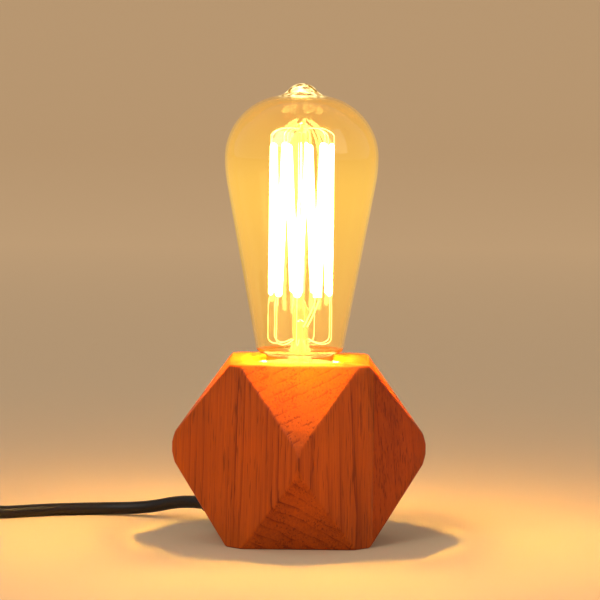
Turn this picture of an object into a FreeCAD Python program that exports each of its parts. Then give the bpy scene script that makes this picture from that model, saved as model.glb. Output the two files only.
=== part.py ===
"""A bare bulb table lamp: a clear filament bulb screwed into a faceted wooden block.

The block is a cube on its base with all eight corners cut off, standing with one upright edge
towards the front (-Y). It is glued up from two boards. A porcelain lampholder sits in a bore in
its top, hung on a hollow threaded nipple, and the mains cord leaves low at the rear left, runs
through a rocker switch, and is wound in a neat coil that ends in a two-pin plug.

Frame: millimetres, +Z up, origin on the table at the middle of the block, front at -Y.
"""

import FreeCAD, Part
import math
import os

V = FreeCAD.Vector
UP = V(0, 0, 1)
ORIGIN = V(0, 0, 0)

# ---- Wooden block, in its own axes: u and v square to the cube's upright faces
CUBE = 76.0  # edge of the cube before its corners are cut
TOP_CUT = 35.25  # how far each top corner cut reaches along the top edges
TOP_CUT_DROP = 33.05  # and how far down the upright edge
FOOT_CUT = 33.75  # the same at the foot
FOOT_CUT_RISE = 34.5
UPRIGHT_ROUND = 1.2  # rounding of the short upright edges
ARRIS = 0.6  # small bevel on every other edge
FRONT_BOARD = 43.8  # thickness of the front board, up to the glue line
BLOCK_TURN = 45.0  # degrees: an upright edge faces the front

# ---- Bores in the block
HOLDER_BORE_R = 20.0
HOLDER_BORE_FLOOR = CUBE - 50.5  # height of the bore's floor, on which the lampholder stands
COVER_R = 25.6  # round cover under the wiring chamber
CHAMBER_R = COVER_R - 6.6
CHAMBER_ROOF = 17.0
COVER_THICK = 2.4
COVER_RECESS = 3.4  # depth of the rebate that the cover sits in
COVER_SCREWS = 3
COVER_SCREW_CIRCLE_R = COVER_R - 3.3
COVER_SCREW_R = 1.4
COVER_SCREW_HEAD_R = 2.5
COVER_SCREW_LENGTH = 11.0
WOOD_FIT = 0.4  # radial clearance of what drops into the wood
FIT = 0.1  # radial clearance of closely fitted pieces
SEAT_GAP = 0.3  # clearance between pieces that move past each other

# ---- Hollow nipple, washer and nuts
NIPPLE_R = 5.0
NIPPLE_BORE_R = 3.7
NIPPLE_BOTTOM = CHAMBER_ROOF - 5.0
NIPPLE_TOP = HOLDER_BORE_FLOOR + 5.5
WASHER_R = 10.0
WASHER_THICK = 1.0
NUT_ACROSS = 14.0
NUT_THICK = 3.0

# ---- Lampholder
BRACKET_HALF = 16.0  # half the length of the strip bracket
BRACKET_WIDE = 12.0
BRACKET_STRIP = 1.5
BRACKET_TAB = 6.6  # length of each inward tab
PORCELAIN_R = 19.3
PORCELAIN_FOOT_R = 17.2
SOCKET_R = 14.15  # inside of the porcelain, round the screw shell
SOCKET_MOUTH_R = 15.6
CONTACT_WELL_R = 9.5
SHELL_WALL = 0.55
TERMINAL_LONG = 8.0
TERMINAL_WIDE = 7.4
TERMINAL_TALL = 4.5
TERMINAL_Y = 9.3  # distance of each terminal from the lamp's axis
TERMINAL_SCREW_X = 1.7
LEAD_END_X = -2.2
SMALL_SCREW_R = 1.45
SMALL_HEAD_R = 2.4
SMALL_HEAD_TALL = 2.1
BRACKET_SCREW_X = 11.6
BRACKET_SCREW_LENGTH = 7.0
RIVET_R = 1.2
RIVET_HEAD_R = 1.9
RIVET_HEAD_TALL = 0.6
CONTACT_RIVET_Y = 7.2
SHELL_RIVET_Y = -11.6
LEAF_WIDE = 5.0
LEAF_THICK = 0.4

# ---- Bulb
BULB_ABOVE = 115.4  # from the block's top to the bulb's tip
BULB_R = 32.05  # the glass at its widest
TIP_ARC = 7.6  # radius of the sealed tip
TIP_FLARE = 8.0  # hollow curve between the tip and the dome
DOME_ARC = 26.0
SIDE_ARC = 60.0  # gentle curve below the widest place
CURL = 2.6  # curl at the foot of the straight tapering wall
COLLAR_ARC = 1.6
COLLAR_R = 14.2  # short collar of glass above the cap
NECK_R = 11.7  # glass neck inside the cap, clear of the roots of its thread
GLASS = 0.9  # wall thickness
CAP_R = 13.2  # screw cap, over its thread
CAP_WALL = 0.4
CAP_TALL = 19.1  # threaded length
CAP_FOOT_DROP = 2.0
INSULATOR_R = 11.2
INSULATOR_TIP_R = 5.4
TIP_CONTACT_R = 4.6
RUNNING_GAP = 0.2  # between the turning bulb and its solder contact

# ---- Inside the glass
STEM_FLARE_R = 10.6
STEM_RIM = 0.8
STEM_R = 3.3
STEM_BORE_R = 1.3
ROD_R = 1.5
BUTTON_R = 2.9
BUTTON_TALL = 4.0
CAGE_R = 12.5  # ring on which the filament stands
CAGE_PEG = 1.0  # half the length of the peg through each filament bend
UPPER_HOOKS = 9
CAGE_GAP_ANGLE = -56.0  # degrees: where the filament starts and ends
LEAD_SPREAD = 4.0  # degrees from that angle to each lead
HOOK_R = 0.25
FILAMENT_R = 0.22
BEND_HALF = 0.55  # half the width of a filament bend
WIRE_R = 0.4
WIRE_STEP = 50.0  # degrees: each short step of a thin wire's bend
WIRE_FLATS = 4  # flats that stand for a thin wire's round section

# ---- Heights, stacked up from the bore's floor: the bulb's contact stands just over its leaf
PORCELAIN_BOTTOM = HOLDER_BORE_FLOOR + 10.5
CONTACT_FLOOR = PORCELAIN_BOTTOM + TERMINAL_TALL + 3.0
SHELL_LEDGE = CONTACT_FLOOR + 2.5  # ledge on which the screw shell stands
TIP_CONTACT_BOTTOM = CONTACT_FLOOR + 2.0
INSULATOR_BOTTOM = TIP_CONTACT_BOTTOM + 2.0
INSULATOR_TOP = INSULATOR_BOTTOM + 5.5
CAP_FOOT = INSULATOR_TOP + 0.6
CAP_TOP = CAP_FOOT + CAP_TALL
SHELL_TOP = CAP_TOP - 0.1
PORCELAIN_TOP = SHELL_TOP + 1.9
NECK_TOP = CAP_TOP + 0.2
NECK_BOTTOM = NECK_TOP - 6.9
COLLAR_BOTTOM = NECK_TOP + 2.5
CURL_HEIGHT = COLLAR_BOTTOM + 6.2
STEM_SHOULDER = CURL_HEIGHT + 2.4
STEM_TOP = STEM_SHOULDER + 13.0
ROD_BOTTOM = STEM_TOP + 4.5
BULB_TIP = CUBE + BULB_ABOVE
BULB_WIDEST = BULB_TIP - 30.9
CAGE_BOTTOM = STEM_TOP + 7.5  # height of the lower pegs
CAGE_TOP = BULB_WIDEST + 4.5  # height of the upper pegs
BUTTON_MIDDLE = CAGE_TOP + 7.8

# ---- Mains cord
CORD_R = 2.75
CORD_FLATS = 8  # flats that stand for its round section
CORD_EXIT = 9.0  # height of the cord's hole
CORE_R = 1.05  # each insulated core
CORE_APART = 1.4  # from the cord's axis to each core's
SHEATH_END = 10.0  # where the sheath stops, from the lamp's axis
RELIEF_HOLE_R = 4.6
RELIEF_INSIDE = 13.0  # length in the wood
RELIEF_COLLAR_R = 6.0
RELIEF_COLLAR = 2.0
RELIEF_TAIL = 16.0  # tapered length outside the collar
RELIEF_TIP_R = 3.5
RELIEF_GROOVES = 3
TIE_WIDE = 3.6
TIE_THICK = 1.3
COIL_TURNS = 6.5
COIL_MEAN_R = 34.0
COIL_STEP = 6.0  # from one turn to the next, beside it or above it
COIL_OUTER_R = COIL_MEAN_R + COIL_STEP * COIL_TURNS / 4

# ---- Inline rocker switch
SWITCH_LONG = 54.0
SWITCH_WIDE = 26.0
SWITCH_TALL = 18.5
SWITCH_WALL = 2.0
SWITCH_NOZZLE = 3.0
SWITCH_NOZZLE_R = 4.6
SWITCH_CORNER = 9.0
SWITCH_EDGE = 2.4
SWITCH_PART_LINE = 9.0  # height of the parting line and of the cord's axis
SWITCH_X = -196.0
SWITCH_Y = 39.0
ROCKER_LONG = 18.4
ROCKER_WIDE = 10.4
ROCKER_PIVOT = 13.5
ROCKER_END_RISE = 6.4
ROCKER_MIDDLE_RISE = 4.9
ROCKER_TILT = 9.0  # degrees each side of level
PIVOT_R = 1.5
PIVOT_HALF = 7.4
ROLLER_R = 1.3
ROLLER_HALF = 4.6
ROLLER_DROP = 5.0
SHEATH_STOP = 18.5  # where the cord's sheath stops inside the switch
TERMINAL_X = 12.0
SWITCH_SCREW_R = 1.1
SWITCH_SCREW_LENGTH = 4.2
SWITCH_TERMINAL_TALL = 5.6
GRIP_HALF = 5.4  # half the width of a cord grip
GRIP_THICK = 2.4
GRIP_X = 21.0
CHEEK_HALF = 3.4  # half the length of the cheeks that hold a grip
CASE_POST_R = 3.0
CASE_SCREW_PLACE = (9.5, -8.7)
CASE_SCREW_LENGTH = 12.0
CASE_SCREW_HEAD_TALL = 1.7
CASE_SINK = 2.3  # depth that each case screw's head is sunk to

# ---- Two-pin plug
COIL_START_X = SWITCH_X - SWITCH_LONG / 2 - SWITCH_NOZZLE - 42.0
PLUG_TIP_X = COIL_START_X + 60.0  # where the cord enters the plug's strain relief
PLUG_TIP_Y = SWITCH_Y - 2 * COIL_OUTER_R + 17.5
PLUG_TURN = -8.0  # degrees from +X: the pins point past the lamp's front
PLUG_RUN_IN = 18.0  # straight end of the cord's run to the plug
PLUG_TALL = 13.7
PLUG_WIDE = 35.3
PLUG_BODY = 36.0
PLUG_TAIL = 14.0
PLUG_RIBS = 3
# Sections of the body as shares of its length, width, height, and of that height for the corners
PLUG_SECTIONS = ((0.0, 0.295, 0.66, 0.48), (0.25, 0.38, 0.77, 0.44), (0.5, 0.65, 0.935, 0.41))
PLUG_SECTIONS += ((0.75, 0.92, 1.0, 0.41), (1.0, 1.0, 1.0, 0.42))
PIN_R = 2.0
PIN_LONG = 19.0
PIN_BEVEL = 1.0
PIN_APART = 19.0
PIN_ROOT = 8.0  # length of each pin held in the moulding
SLEEVE_LONG = 10.0
SLEEVE_WALL = 0.4


# ---- Helpers


def unit(vector):
    return V(vector) * (1.0 / vector.Length)


def toward(start, end, distance):
    return start + unit(end - start) * distance


def polar(radius, degrees, height):
    angle = math.radians(degrees)
    return V(radius * math.cos(angle), radius * math.sin(angle), height)


def on_block(u, v, z):
    """A point given in the block's own turned axes."""
    turn = math.radians(BLOCK_TURN)
    return V(u * math.cos(turn) - v * math.sin(turn), u * math.sin(turn) + v * math.cos(turn), z)


def with_block(shape):
    """Turns a shape made in the block's own axes to where the block stands."""
    return shape.rotated(ORIGIN, UP, BLOCK_TURN)


def along(shape, place, direction):
    """Lays a shape made along +Z along another direction, from a given place."""
    shape.Placement = FreeCAD.Placement(place, FreeCAD.Rotation(UP, direction))
    return shape


def profile_edges(start, steps):
    """Edges in the XZ plane through (r, z) points. A pair of points is an arc through the first."""
    edges = []
    here = V(start[0], 0, start[1])
    for step in steps:
        if isinstance(step[0], tuple):
            middle, end = (V(p[0], 0, p[1]) for p in step)
            edges.append(Part.Arc(here, middle, end).toShape())
        else:
            end = V(step[0], 0, step[1])
            edges.append(Part.LineSegment(here, end).toShape())
        here = end
    return edges


def turned(start, *steps):
    """A solid of revolution about Z, from a closed (r, z) outline."""
    edges = profile_edges(start, [*steps, start])
    return Part.Face(Part.Wire(edges)).revolve(ORIGIN, UP, 360)


def slab(low, high):
    return Part.makeBox(high[0] - low[0], high[1] - low[1], high[2] - low[2], V(*low))


def rod(radius, low, high, x=0.0, y=0.0):
    return Part.makeCylinder(radius, high - low, V(x, y, low))


def prism(points, depth, normal):
    """An extrusion of a flat polygon."""
    face = Part.Face(Part.makePolygon([*points, points[0]]))
    return face.extrude(normal * depth)


def hexagon_nut(across, bore_r, low, high):
    corners = [polar(across / math.sqrt(3), 60 * k, low) for k in range(6)]
    return prism(corners, high - low, UP).cut(rod(bore_r, low - 1, high + 1))


def pan_screw(shank_r, head_r, head_tall, length):
    """A pan-head screw with its tip at the origin and its head below it."""
    under = -length
    crown = under - head_tall
    return turned((0, crown), (head_r, crown), (head_r, under), (shank_r, under), (shank_r, 0), (0, 0))


def bent_route(points):
    """A wire of straight runs joined by tangent arcs, each as large as its runs allow."""
    edges = []
    radii = []
    start = points[0]
    for before, corner, after in zip(points, points[1:], points[2:]):
        back = before - corner
        ahead = after - corner
        half_turn = 0.5 * (math.pi - back.getAngle(ahead))
        reach = 0.45 * min(back.Length, ahead.Length)
        radius = reach / math.tan(half_turn)
        enter = corner + unit(back) * reach
        leave = corner + unit(ahead) * reach
        inward = unit(unit(back) + unit(ahead))
        middle = corner + inward * (radius / math.cos(half_turn) - radius)
        edges.append(Part.LineSegment(start, enter).toShape())
        edges.append(Part.Arc(enter, middle, leave).toShape())
        radii.append(radius)
        start = leave
    edges.append(Part.LineSegment(start, points[-1]).toShape())
    return Part.Wire(edges), radii


def flat_sided(centre, way, radius, flats):
    """A regular polygon about a centre, square to a direction, with a flat facing down."""
    aside = unit(way.cross(UP if abs(way.z) < 0.9 else V(1, 0, 0)))
    aside = FreeCAD.Rotation(way, 180 / flats).multVec(aside) * radius
    turns = [FreeCAD.Rotation(way, 360 * k / flats) for k in range(round(flats))]
    corners = [centre + turn.multVec(aside) for turn in turns]
    return Part.makePolygon([*corners, corners[0]])


def swept(path):
    """The cord along a path, its round sheath drawn with a few flats."""
    first = path.Edges[0]
    start = first.valueAt(first.FirstParameter)
    tangent = first.tangentAt(first.FirstParameter)
    return path.makePipeShell([flat_sided(start, tangent, CORD_R, CORD_FLATS)], True)


def cord_section():
    return 0.5 * CORD_FLATS * CORD_R**2 * math.sin(2 * math.pi / CORD_FLATS)


def bent_wire(points, radius, bend=None):
    """A thin wire drawn with a few flats, each of its bends turned in short mitred steps."""
    path = [points[0]]
    for before, corner, after in zip(points, points[1:], points[2:]):
        turn = math.pi - (before - corner).getAngle(after - corner)
        reach = 0.45 * min((before - corner).Length, (after - corner).Length)
        if bend:
            reach = min(reach, bend * math.tan(turn / 2))
        enter = toward(corner, before, reach)
        leave = toward(corner, after, reach)
        steps = max(1, round(turn / math.radians(WIRE_STEP)))
        for k in range(steps + 1):
            share = k / steps
            path.append(enter * (1 - share) ** 2 + corner * (2 * share * (1 - share)) + leave * share**2)
    path.append(points[-1])
    section = flat_sided(path[0], unit(path[1] - path[0]), radius, WIRE_FLATS)
    return Part.makePolygon(path).makePipeShell([section], True, False, 1)


def free_cord(name, points):
    """A free stretch of the mains cord, with its bend radii and its volume checked in print."""
    path, radii = bent_route([V(*p) for p in points])
    tube = swept(path)
    plain = cord_section() * path.Length
    print(
        f"{name}: {path.Length:.1f} mm long, bends {', '.join(f'{r:.0f}' for r in radii)} mm,",
        f"volume {tube.Volume / plain:.4f} of section times length",
    )
    save(name, tube)


def save(name, *solids):
    """Writes one node: a single solid, or a group of like ones."""
    shape = solids[0] if len(solids) == 1 else Part.makeCompound(solids)
    if len(solids) == 1 and len(shape.Solids) == 1:
        shape = shape.Solids[0]
    if not shape.isValid():
        print(f"{name} is not valid")
    if len(shape.Solids) != len(solids):
        print(f"{name} has {len(shape.Solids)} solids")
    shape.exportStep(f"parts/{name}.step")


# ---- The wooden block


def beyond(point, normal):
    """Everything past a plane, as a box large enough to trim the block with."""
    size = 3 * CUBE
    box = slab((-size / 2, -size / 2, 0), (size / 2, size / 2, size))
    return along(box, point, normal)


def cut_cube():
    """The cube with its upright edges rounded, its eight corners cut and every arris softened."""
    half = CUBE / 2
    block = slab((-half, -half, 0), (half, half, CUBE))
    upright = [e for e in block.Edges if abs(e.tangentAt(0).z) > 0.9]
    block = block.makeFillet(UPRIGHT_ROUND, upright)
    for u_side in (-1, 1):
        for v_side in (-1, 1):
            top = V(u_side / TOP_CUT, v_side / TOP_CUT, 1 / TOP_CUT_DROP)
            block = block.cut(beyond(V(u_side * (half - TOP_CUT), v_side * half, CUBE), top))
            foot = V(u_side / FOOT_CUT, v_side / FOOT_CUT, -1 / FOOT_CUT_RISE)
            block = block.cut(beyond(V(u_side * (half - FOOT_CUT), v_side * half, 0), foot))
    return block.makeChamfer(ARRIS, block.Edges)


def cover_screw_places():
    """Angles of the cover's screws, kept clear of the cord's hole."""
    return [BLOCK_TURN + k * 360 / COVER_SCREWS for k in range(COVER_SCREWS)]


def block_boards():
    block = with_block(cut_cube())
    block = block.cut(rod(HOLDER_BORE_R, HOLDER_BORE_FLOOR, CUBE + 1))
    block = block.cut(rod(CHAMBER_R, -1, CHAMBER_ROOF))
    block = block.cut(rod(COVER_R + WOOD_FIT, -1, COVER_RECESS))
    block = block.cut(rod(NIPPLE_R + FIT, 0, HOLDER_BORE_FLOOR + 1))
    for angle in cover_screw_places():
        place = polar(COVER_SCREW_CIRCLE_R, angle, 0)
        tip = COVER_RECESS - COVER_THICK + COVER_SCREW_LENGTH + 0.5
        block = block.cut(rod(COVER_SCREW_R + FIT / 2, 0, tip, place.x, place.y))
    hole = rod(RELIEF_HOLE_R + FIT, 0, CUBE)
    block = block.cut(along(hole, on_block(0, 0, CORD_EXIT), on_block(0, 1, 0)))
    glue_line = FRONT_BOARD - CUBE / 2
    far = 2 * CUBE
    front_side = with_block(slab((-far, -far, -far), (glue_line, far, far)))
    save("front_board", block.common(front_side))
    save("rear_board", block.cut(front_side))


def base_cover():
    bottom = COVER_RECESS - COVER_THICK
    cover = turned(
        (0, bottom),
        (COVER_R - 0.6, bottom),
        (COVER_R, bottom + 0.6),
        (COVER_R, COVER_RECESS),
        (0, COVER_RECESS),
    )
    screws = []
    for angle in cover_screw_places():
        place = polar(COVER_SCREW_CIRCLE_R, angle, bottom)
        cone_tall = COVER_SCREW_HEAD_R - COVER_SCREW_R
        sink = turned(
            (0, -1),
            (COVER_SCREW_HEAD_R + FIT, -1),
            (COVER_SCREW_HEAD_R + FIT, 0),
            (COVER_SCREW_R + FIT, cone_tall),
            (COVER_SCREW_R + FIT, COVER_THICK + 1),
            (0, COVER_THICK + 1),
        )
        cover = cover.cut(sink.translated(place))
        screw = turned(
            (0, 0),
            (COVER_SCREW_HEAD_R, 0),
            (COVER_SCREW_R, cone_tall),
            (COVER_SCREW_R, COVER_SCREW_LENGTH),
            (0, COVER_SCREW_LENGTH),
        )
        screws.append(screw.translated(place))
    save("base_cover", cover)
    save("cover_screws", *screws)


# ---- What holds the lampholder and the cord in the block


def nipple_and_nuts():
    tube = rod(NIPPLE_R, NIPPLE_BOTTOM, NIPPLE_TOP).cut(rod(NIPPLE_BORE_R, 0, CUBE))
    save("nipple", tube)
    washer_bottom = CHAMBER_ROOF - WASHER_THICK
    washer = rod(WASHER_R, washer_bottom, CHAMBER_ROOF).cut(rod(NIPPLE_R + FIT, 0, CUBE))
    save("nipple_washer", washer)
    save("nipple_nut", hexagon_nut(NUT_ACROSS, NIPPLE_R + FIT, washer_bottom - NUT_THICK, washer_bottom))
    bar_top = HOLDER_BORE_FLOOR + BRACKET_STRIP
    save("bracket_nut", hexagon_nut(NUT_ACROSS, NIPPLE_R + FIT, bar_top, bar_top + NUT_THICK))


def cord_relief():
    """A ribbed rubber bush in the cord's hole, tapering outwards, with the cord's end through it."""
    face = CUBE / 2
    inner = face - RELIEF_INSIDE
    collar_end = face + RELIEF_COLLAR
    tip = collar_end + RELIEF_TAIL
    steps = [(RELIEF_HOLE_R, inner), (RELIEF_HOLE_R, face), (RELIEF_COLLAR_R, face)]
    steps += [(RELIEF_COLLAR_R, collar_end - 0.7), (RELIEF_COLLAR_R - 0.7, collar_end)]
    pitch = RELIEF_TAIL / RELIEF_GROOVES
    for k in range(RELIEF_GROOVES):
        rib_r = RELIEF_HOLE_R + (RELIEF_TIP_R - RELIEF_HOLE_R) * (k + 0.5) / RELIEF_GROOVES
        low = collar_end + k * pitch
        steps += [(rib_r - 0.5, low), (rib_r - 0.5, low + 0.3 * pitch)]
        steps += [(rib_r, low + 0.3 * pitch), (rib_r, low + pitch)]
    steps += [(CORD_R + FIT, tip)]
    relief = turned((CORD_R + FIT, inner), *steps)
    axis = on_block(0, 1, 0)
    save("cord_strain_relief", along(relief, V(0, 0, CORD_EXIT), axis))
    sheath = rod(CORD_R, SHEATH_END, tip)
    save("cord_in_base", along(sheath, V(0, 0, CORD_EXIT), axis))
    tie_at = SHEATH_END + 1.5
    band = rod(CORD_R + FIT + TIE_THICK, tie_at, tie_at + TIE_WIDE)
    lock_low = CORD_R + FIT + 0.4
    lock = slab((lock_low, -2.3, tie_at - 0.4), (lock_low + 4.0, 2.3, tie_at + TIE_WIDE + 0.4))
    tie = band.fuse(lock).cut(rod(CORD_R + FIT, 0, CUBE))
    save("cord_tie", along(tie, V(0, 0, CORD_EXIT), axis))


def core_route(side):
    """A core from the end of the sheath, up through the nipple to its terminal on that side."""
    apart = side * CORE_APART
    level = NIPPLE_TOP + 2.5
    return [
        on_block(apart, SHEATH_END, CORD_EXIT),
        on_block(apart, 0.2, CORD_EXIT),
        on_block(apart, 0, level),
        V(LEAD_END_X, side * TERMINAL_Y, level + 0.4),
        V(LEAD_END_X, side * TERMINAL_Y, PORCELAIN_BOTTOM + 0.5),
    ]


# ---- The lampholder


def bracket():
    """A strip bent to a C: it stands on the bore's floor and carries the porcelain on its tabs."""
    low = HOLDER_BORE_FLOOR
    strip = BRACKET_STRIP
    tab = BRACKET_HALF - BRACKET_TAB
    inner = BRACKET_HALF - strip
    outline = [(-BRACKET_HALF, low), (BRACKET_HALF, low), (BRACKET_HALF, PORCELAIN_BOTTOM)]
    outline += [(tab, PORCELAIN_BOTTOM), (tab, PORCELAIN_BOTTOM - strip), (inner, PORCELAIN_BOTTOM - strip)]
    outline += [(inner, low + strip), (-inner, low + strip), (-inner, PORCELAIN_BOTTOM - strip)]
    outline += [(-tab, PORCELAIN_BOTTOM - strip), (-tab, PORCELAIN_BOTTOM), (-BRACKET_HALF, PORCELAIN_BOTTOM)]
    points = [V(x, -BRACKET_WIDE / 2, z) for x, z in outline]
    shape = prism(points, BRACKET_WIDE, V(0, 1, 0)).cut(rod(NIPPLE_R + FIT, 0, CUBE))
    screws = []
    for x in (-BRACKET_SCREW_X, BRACKET_SCREW_X):
        shape = shape.cut(rod(SMALL_SCREW_R + FIT, PORCELAIN_BOTTOM - strip - 1, CUBE, x))
        screw = pan_screw(SMALL_SCREW_R, SMALL_HEAD_R, SMALL_HEAD_TALL, BRACKET_SCREW_LENGTH)
        screws.append(screw.translated(V(x, 0, PORCELAIN_BOTTOM - strip + BRACKET_SCREW_LENGTH)))
    save("lampholder_bracket", shape)
    save("bracket_screws", *screws)


def porcelain():
    bottom = PORCELAIN_BOTTOM
    top = PORCELAIN_TOP
    body = turned(
        (0, bottom),
        (PORCELAIN_FOOT_R, bottom),
        (PORCELAIN_R, bottom + 2.1),
        (PORCELAIN_R, top - 1.5),
        (PORCELAIN_R - 1.5, top),
        (SOCKET_MOUTH_R, top),
        (SOCKET_R, top - 1.5),
        (SOCKET_R, SHELL_LEDGE),
        (CONTACT_WELL_R, SHELL_LEDGE),
        (CONTACT_WELL_R, CONTACT_FLOOR),
        (0, CONTACT_FLOOR),
    )
    roof = bottom + 0.5 + TERMINAL_TALL
    for side in (-1, 1):
        body = body.cut(terminal_box(side, 0.2, bottom - 1, roof))
        screw_tip = bottom - BRACKET_STRIP + BRACKET_SCREW_LENGTH + 0.3
        body = body.cut(rod(SMALL_SCREW_R + FIT, 0, screw_tip, side * BRACKET_SCREW_X))
    body = body.cut(rod(RIVET_R + FIT, roof - 1, CONTACT_FLOOR + 1, 0, CONTACT_RIVET_Y))
    body = body.cut(rod(RIVET_R + FIT, roof - 1, SHELL_LEDGE + 1, 0, SHELL_RIVET_Y))
    save("porcelain_body", body)


def terminal_box(side, extra, low, high):
    """The space of one terminal block, on the +Y or -Y side, grown by a clearance."""
    x = TERMINAL_LONG / 2 + extra
    y = TERMINAL_WIDE / 2 + extra
    middle = side * TERMINAL_Y
    return slab((-x, middle - y, low), (x, middle + y, high))


def terminals_and_contacts():
    low = PORCELAIN_BOTTOM + 0.5
    high = low + TERMINAL_TALL
    screws = []
    for side, name in ((1, "live_terminal"), (-1, "neutral_terminal")):
        block = terminal_box(side, 0, low, high)
        block = block.cut(rod(SMALL_SCREW_R + FIT, 0, high - 0.4, TERMINAL_SCREW_X, side * TERMINAL_Y))
        save(name, block)
        screw = pan_screw(SMALL_SCREW_R, SMALL_HEAD_R, SMALL_HEAD_TALL, TERMINAL_TALL - 0.6)
        screws.append(screw.translated(V(TERMINAL_SCREW_X, side * TERMINAL_Y, high - 0.6)))
    save("terminal_screws", *screws)
    centre_contact(high)
    shell_bottom = SHELL_LEDGE + SHELL_WALL
    shell = turned(
        (CONTACT_WELL_R + 0.2, SHELL_LEDGE),
        (SOCKET_R - FIT, SHELL_LEDGE),
        (SOCKET_R - FIT, SHELL_TOP),
        (SOCKET_R - FIT - SHELL_WALL, SHELL_TOP),
        (SOCKET_R - FIT - SHELL_WALL, shell_bottom),
        (CONTACT_WELL_R + 0.2, shell_bottom),
    )
    save("screw_shell", shell.cut(rod(RIVET_R + FIT, 0, CUBE, 0, SHELL_RIVET_Y)))
    rivet = rod(RIVET_R, high, shell_bottom, 0, SHELL_RIVET_Y)
    head = rod(RIVET_HEAD_R, shell_bottom, shell_bottom + RIVET_HEAD_TALL, 0, SHELL_RIVET_Y)
    save("shell_rivet", rivet.fuse(head))


def centre_contact(terminal_top):
    """A springy brass leaf on the socket's floor, humped to just under the bulb's contact."""
    floor = CONTACT_FLOOR
    crest = TIP_CONTACT_BOTTOM - SEAT_GAP
    thick = LEAF_THICK
    upper = [(CONTACT_WELL_R - 0.8, floor + thick), (4.6, floor + thick), (2.2, crest), (-1.8, crest)]
    upper += [(-5.2, floor + 0.5)]
    lower = [(y, z - thick) for y, z in reversed(upper)]
    points = [V(-LEAF_WIDE / 2, y, z) for y, z in upper + lower]
    leaf = prism(points, LEAF_WIDE, V(1, 0, 0))
    save("centre_contact", leaf.cut(rod(RIVET_R + FIT, 0, CUBE, 0, CONTACT_RIVET_Y)))
    shank = rod(RIVET_R, terminal_top, floor + thick, 0, CONTACT_RIVET_Y)
    head = rod(RIVET_HEAD_R, floor + thick, floor + thick + RIVET_HEAD_TALL, 0, CONTACT_RIVET_Y)
    save("contact_rivet", shank.fuse(head))


# ---- The bulb


def arc_about(centre, radius, start, end):
    """The shorter arc about a centre between two directions, as a profile step and its start."""
    first = toward(centre, start, radius)
    last = toward(centre, end, radius)
    middle = toward(centre, centre + unit(first - centre) + unit(last - centre), radius)
    return (first.x, first.z), ((middle.x, middle.z), (last.x, last.z))


def meeting(a, a_r, b, b_r):
    """The right-hand meeting point of two circles in the XZ plane."""
    span = b - a
    length = span.Length
    forward = (a_r**2 - b_r**2 + length**2) / (2 * length)
    aside = math.sqrt(a_r**2 - forward**2)
    across = V(-span.z, 0, span.x) * (1 / length)
    found = [a + span * (forward / length) + across * (side * aside) for side in (-1, 1)]
    return max(found, key=lambda p: p.z)


def glass_circles():
    """Centres of the arcs that the glass is drawn with, in the XZ plane, and the way out of the taper.

    The taper is the straight line that touches both the side's arc and the curl.
    """
    tip = V(0, 0, BULB_TIP - TIP_ARC)
    dome = V(BULB_R - DOME_ARC, 0, BULB_WIDEST)
    side = V(BULB_R - SIDE_ARC, 0, BULB_WIDEST)
    flare = meeting(tip, TIP_ARC + TIP_FLARE, dome, DOME_ARC + TIP_FLARE)
    curl = V(COLLAR_R + COLLAR_ARC, 0, CURL_HEIGHT)
    down = curl - side
    angle = math.atan2(down.z, down.x) + math.acos((SIDE_ARC - CURL) / down.Length)
    return tip, flare, dome, side, curl, V(math.cos(angle), 0, math.sin(angle))


def outer_glass():
    """Outline of the glass from its tip down to the neck."""
    tip, flare, dome, side, curl, out_of_taper = glass_circles()
    taper_top = side + out_of_taper * SIDE_ARC
    collar = curl - UP * (CURL + COLLAR_ARC)
    start, tip_step = arc_about(tip, TIP_ARC, tip + UP, flare)
    curl_start, curl_step = arc_about(curl, CURL, curl + out_of_taper, collar)
    steps = [tip_step, arc_about(flare, TIP_FLARE, tip, dome)[1]]
    steps.append(arc_about(dome, DOME_ARC, flare, V(BULB_R, 0, BULB_WIDEST))[1])
    steps.append(arc_about(side, SIDE_ARC, V(BULB_R, 0, BULB_WIDEST), taper_top)[1])
    steps += [curl_start, curl_step]
    steps.append(arc_about(collar, COLLAR_ARC, curl, collar - V(1, 0, 0))[1])
    steps += [(COLLAR_R, COLLAR_BOTTOM), (CAP_R, NECK_TOP), (NECK_R, NECK_TOP), (NECK_R, NECK_BOTTOM)]
    return start, steps


def inner_glass():
    """Outline of the space inside: the same dome, side and taper, one wall in."""
    tip, flare, dome, side, curl, out_of_taper = glass_circles()
    widest = V(BULB_R, 0, BULB_WIDEST)
    dome_start, dome_step = arc_about(dome, DOME_ARC - GLASS, flare, widest)
    taper_top = side + out_of_taper * (SIDE_ARC - GLASS)
    foot_z = CURL_HEIGHT - GLASS
    foot_r = taper_top.x + (taper_top.z - foot_z) * out_of_taper.z / out_of_taper.x
    steps = [(TIP_ARC - 3 * GLASS, BULB_TIP - 0.75 * TIP_ARC), dome_start, dome_step]
    steps.append(arc_about(side, SIDE_ARC - GLASS, widest, taper_top)[1])
    steps += [(foot_r, foot_z), (COLLAR_R - GLASS, foot_z - CURL), (NECK_R - GLASS, NECK_TOP)]
    steps.append((NECK_R - GLASS, NECK_BOTTOM - 1))
    return (0, BULB_TIP - 0.75 * TIP_ARC), steps


def bulb_glass():
    start, steps = outer_glass()
    outside = turned(start, *steps, (0, NECK_BOTTOM))
    start, steps = inner_glass()
    inside = turned(start, *steps, (0, NECK_BOTTOM - 1))
    save("bulb_glass", outside.cut(inside))


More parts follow.
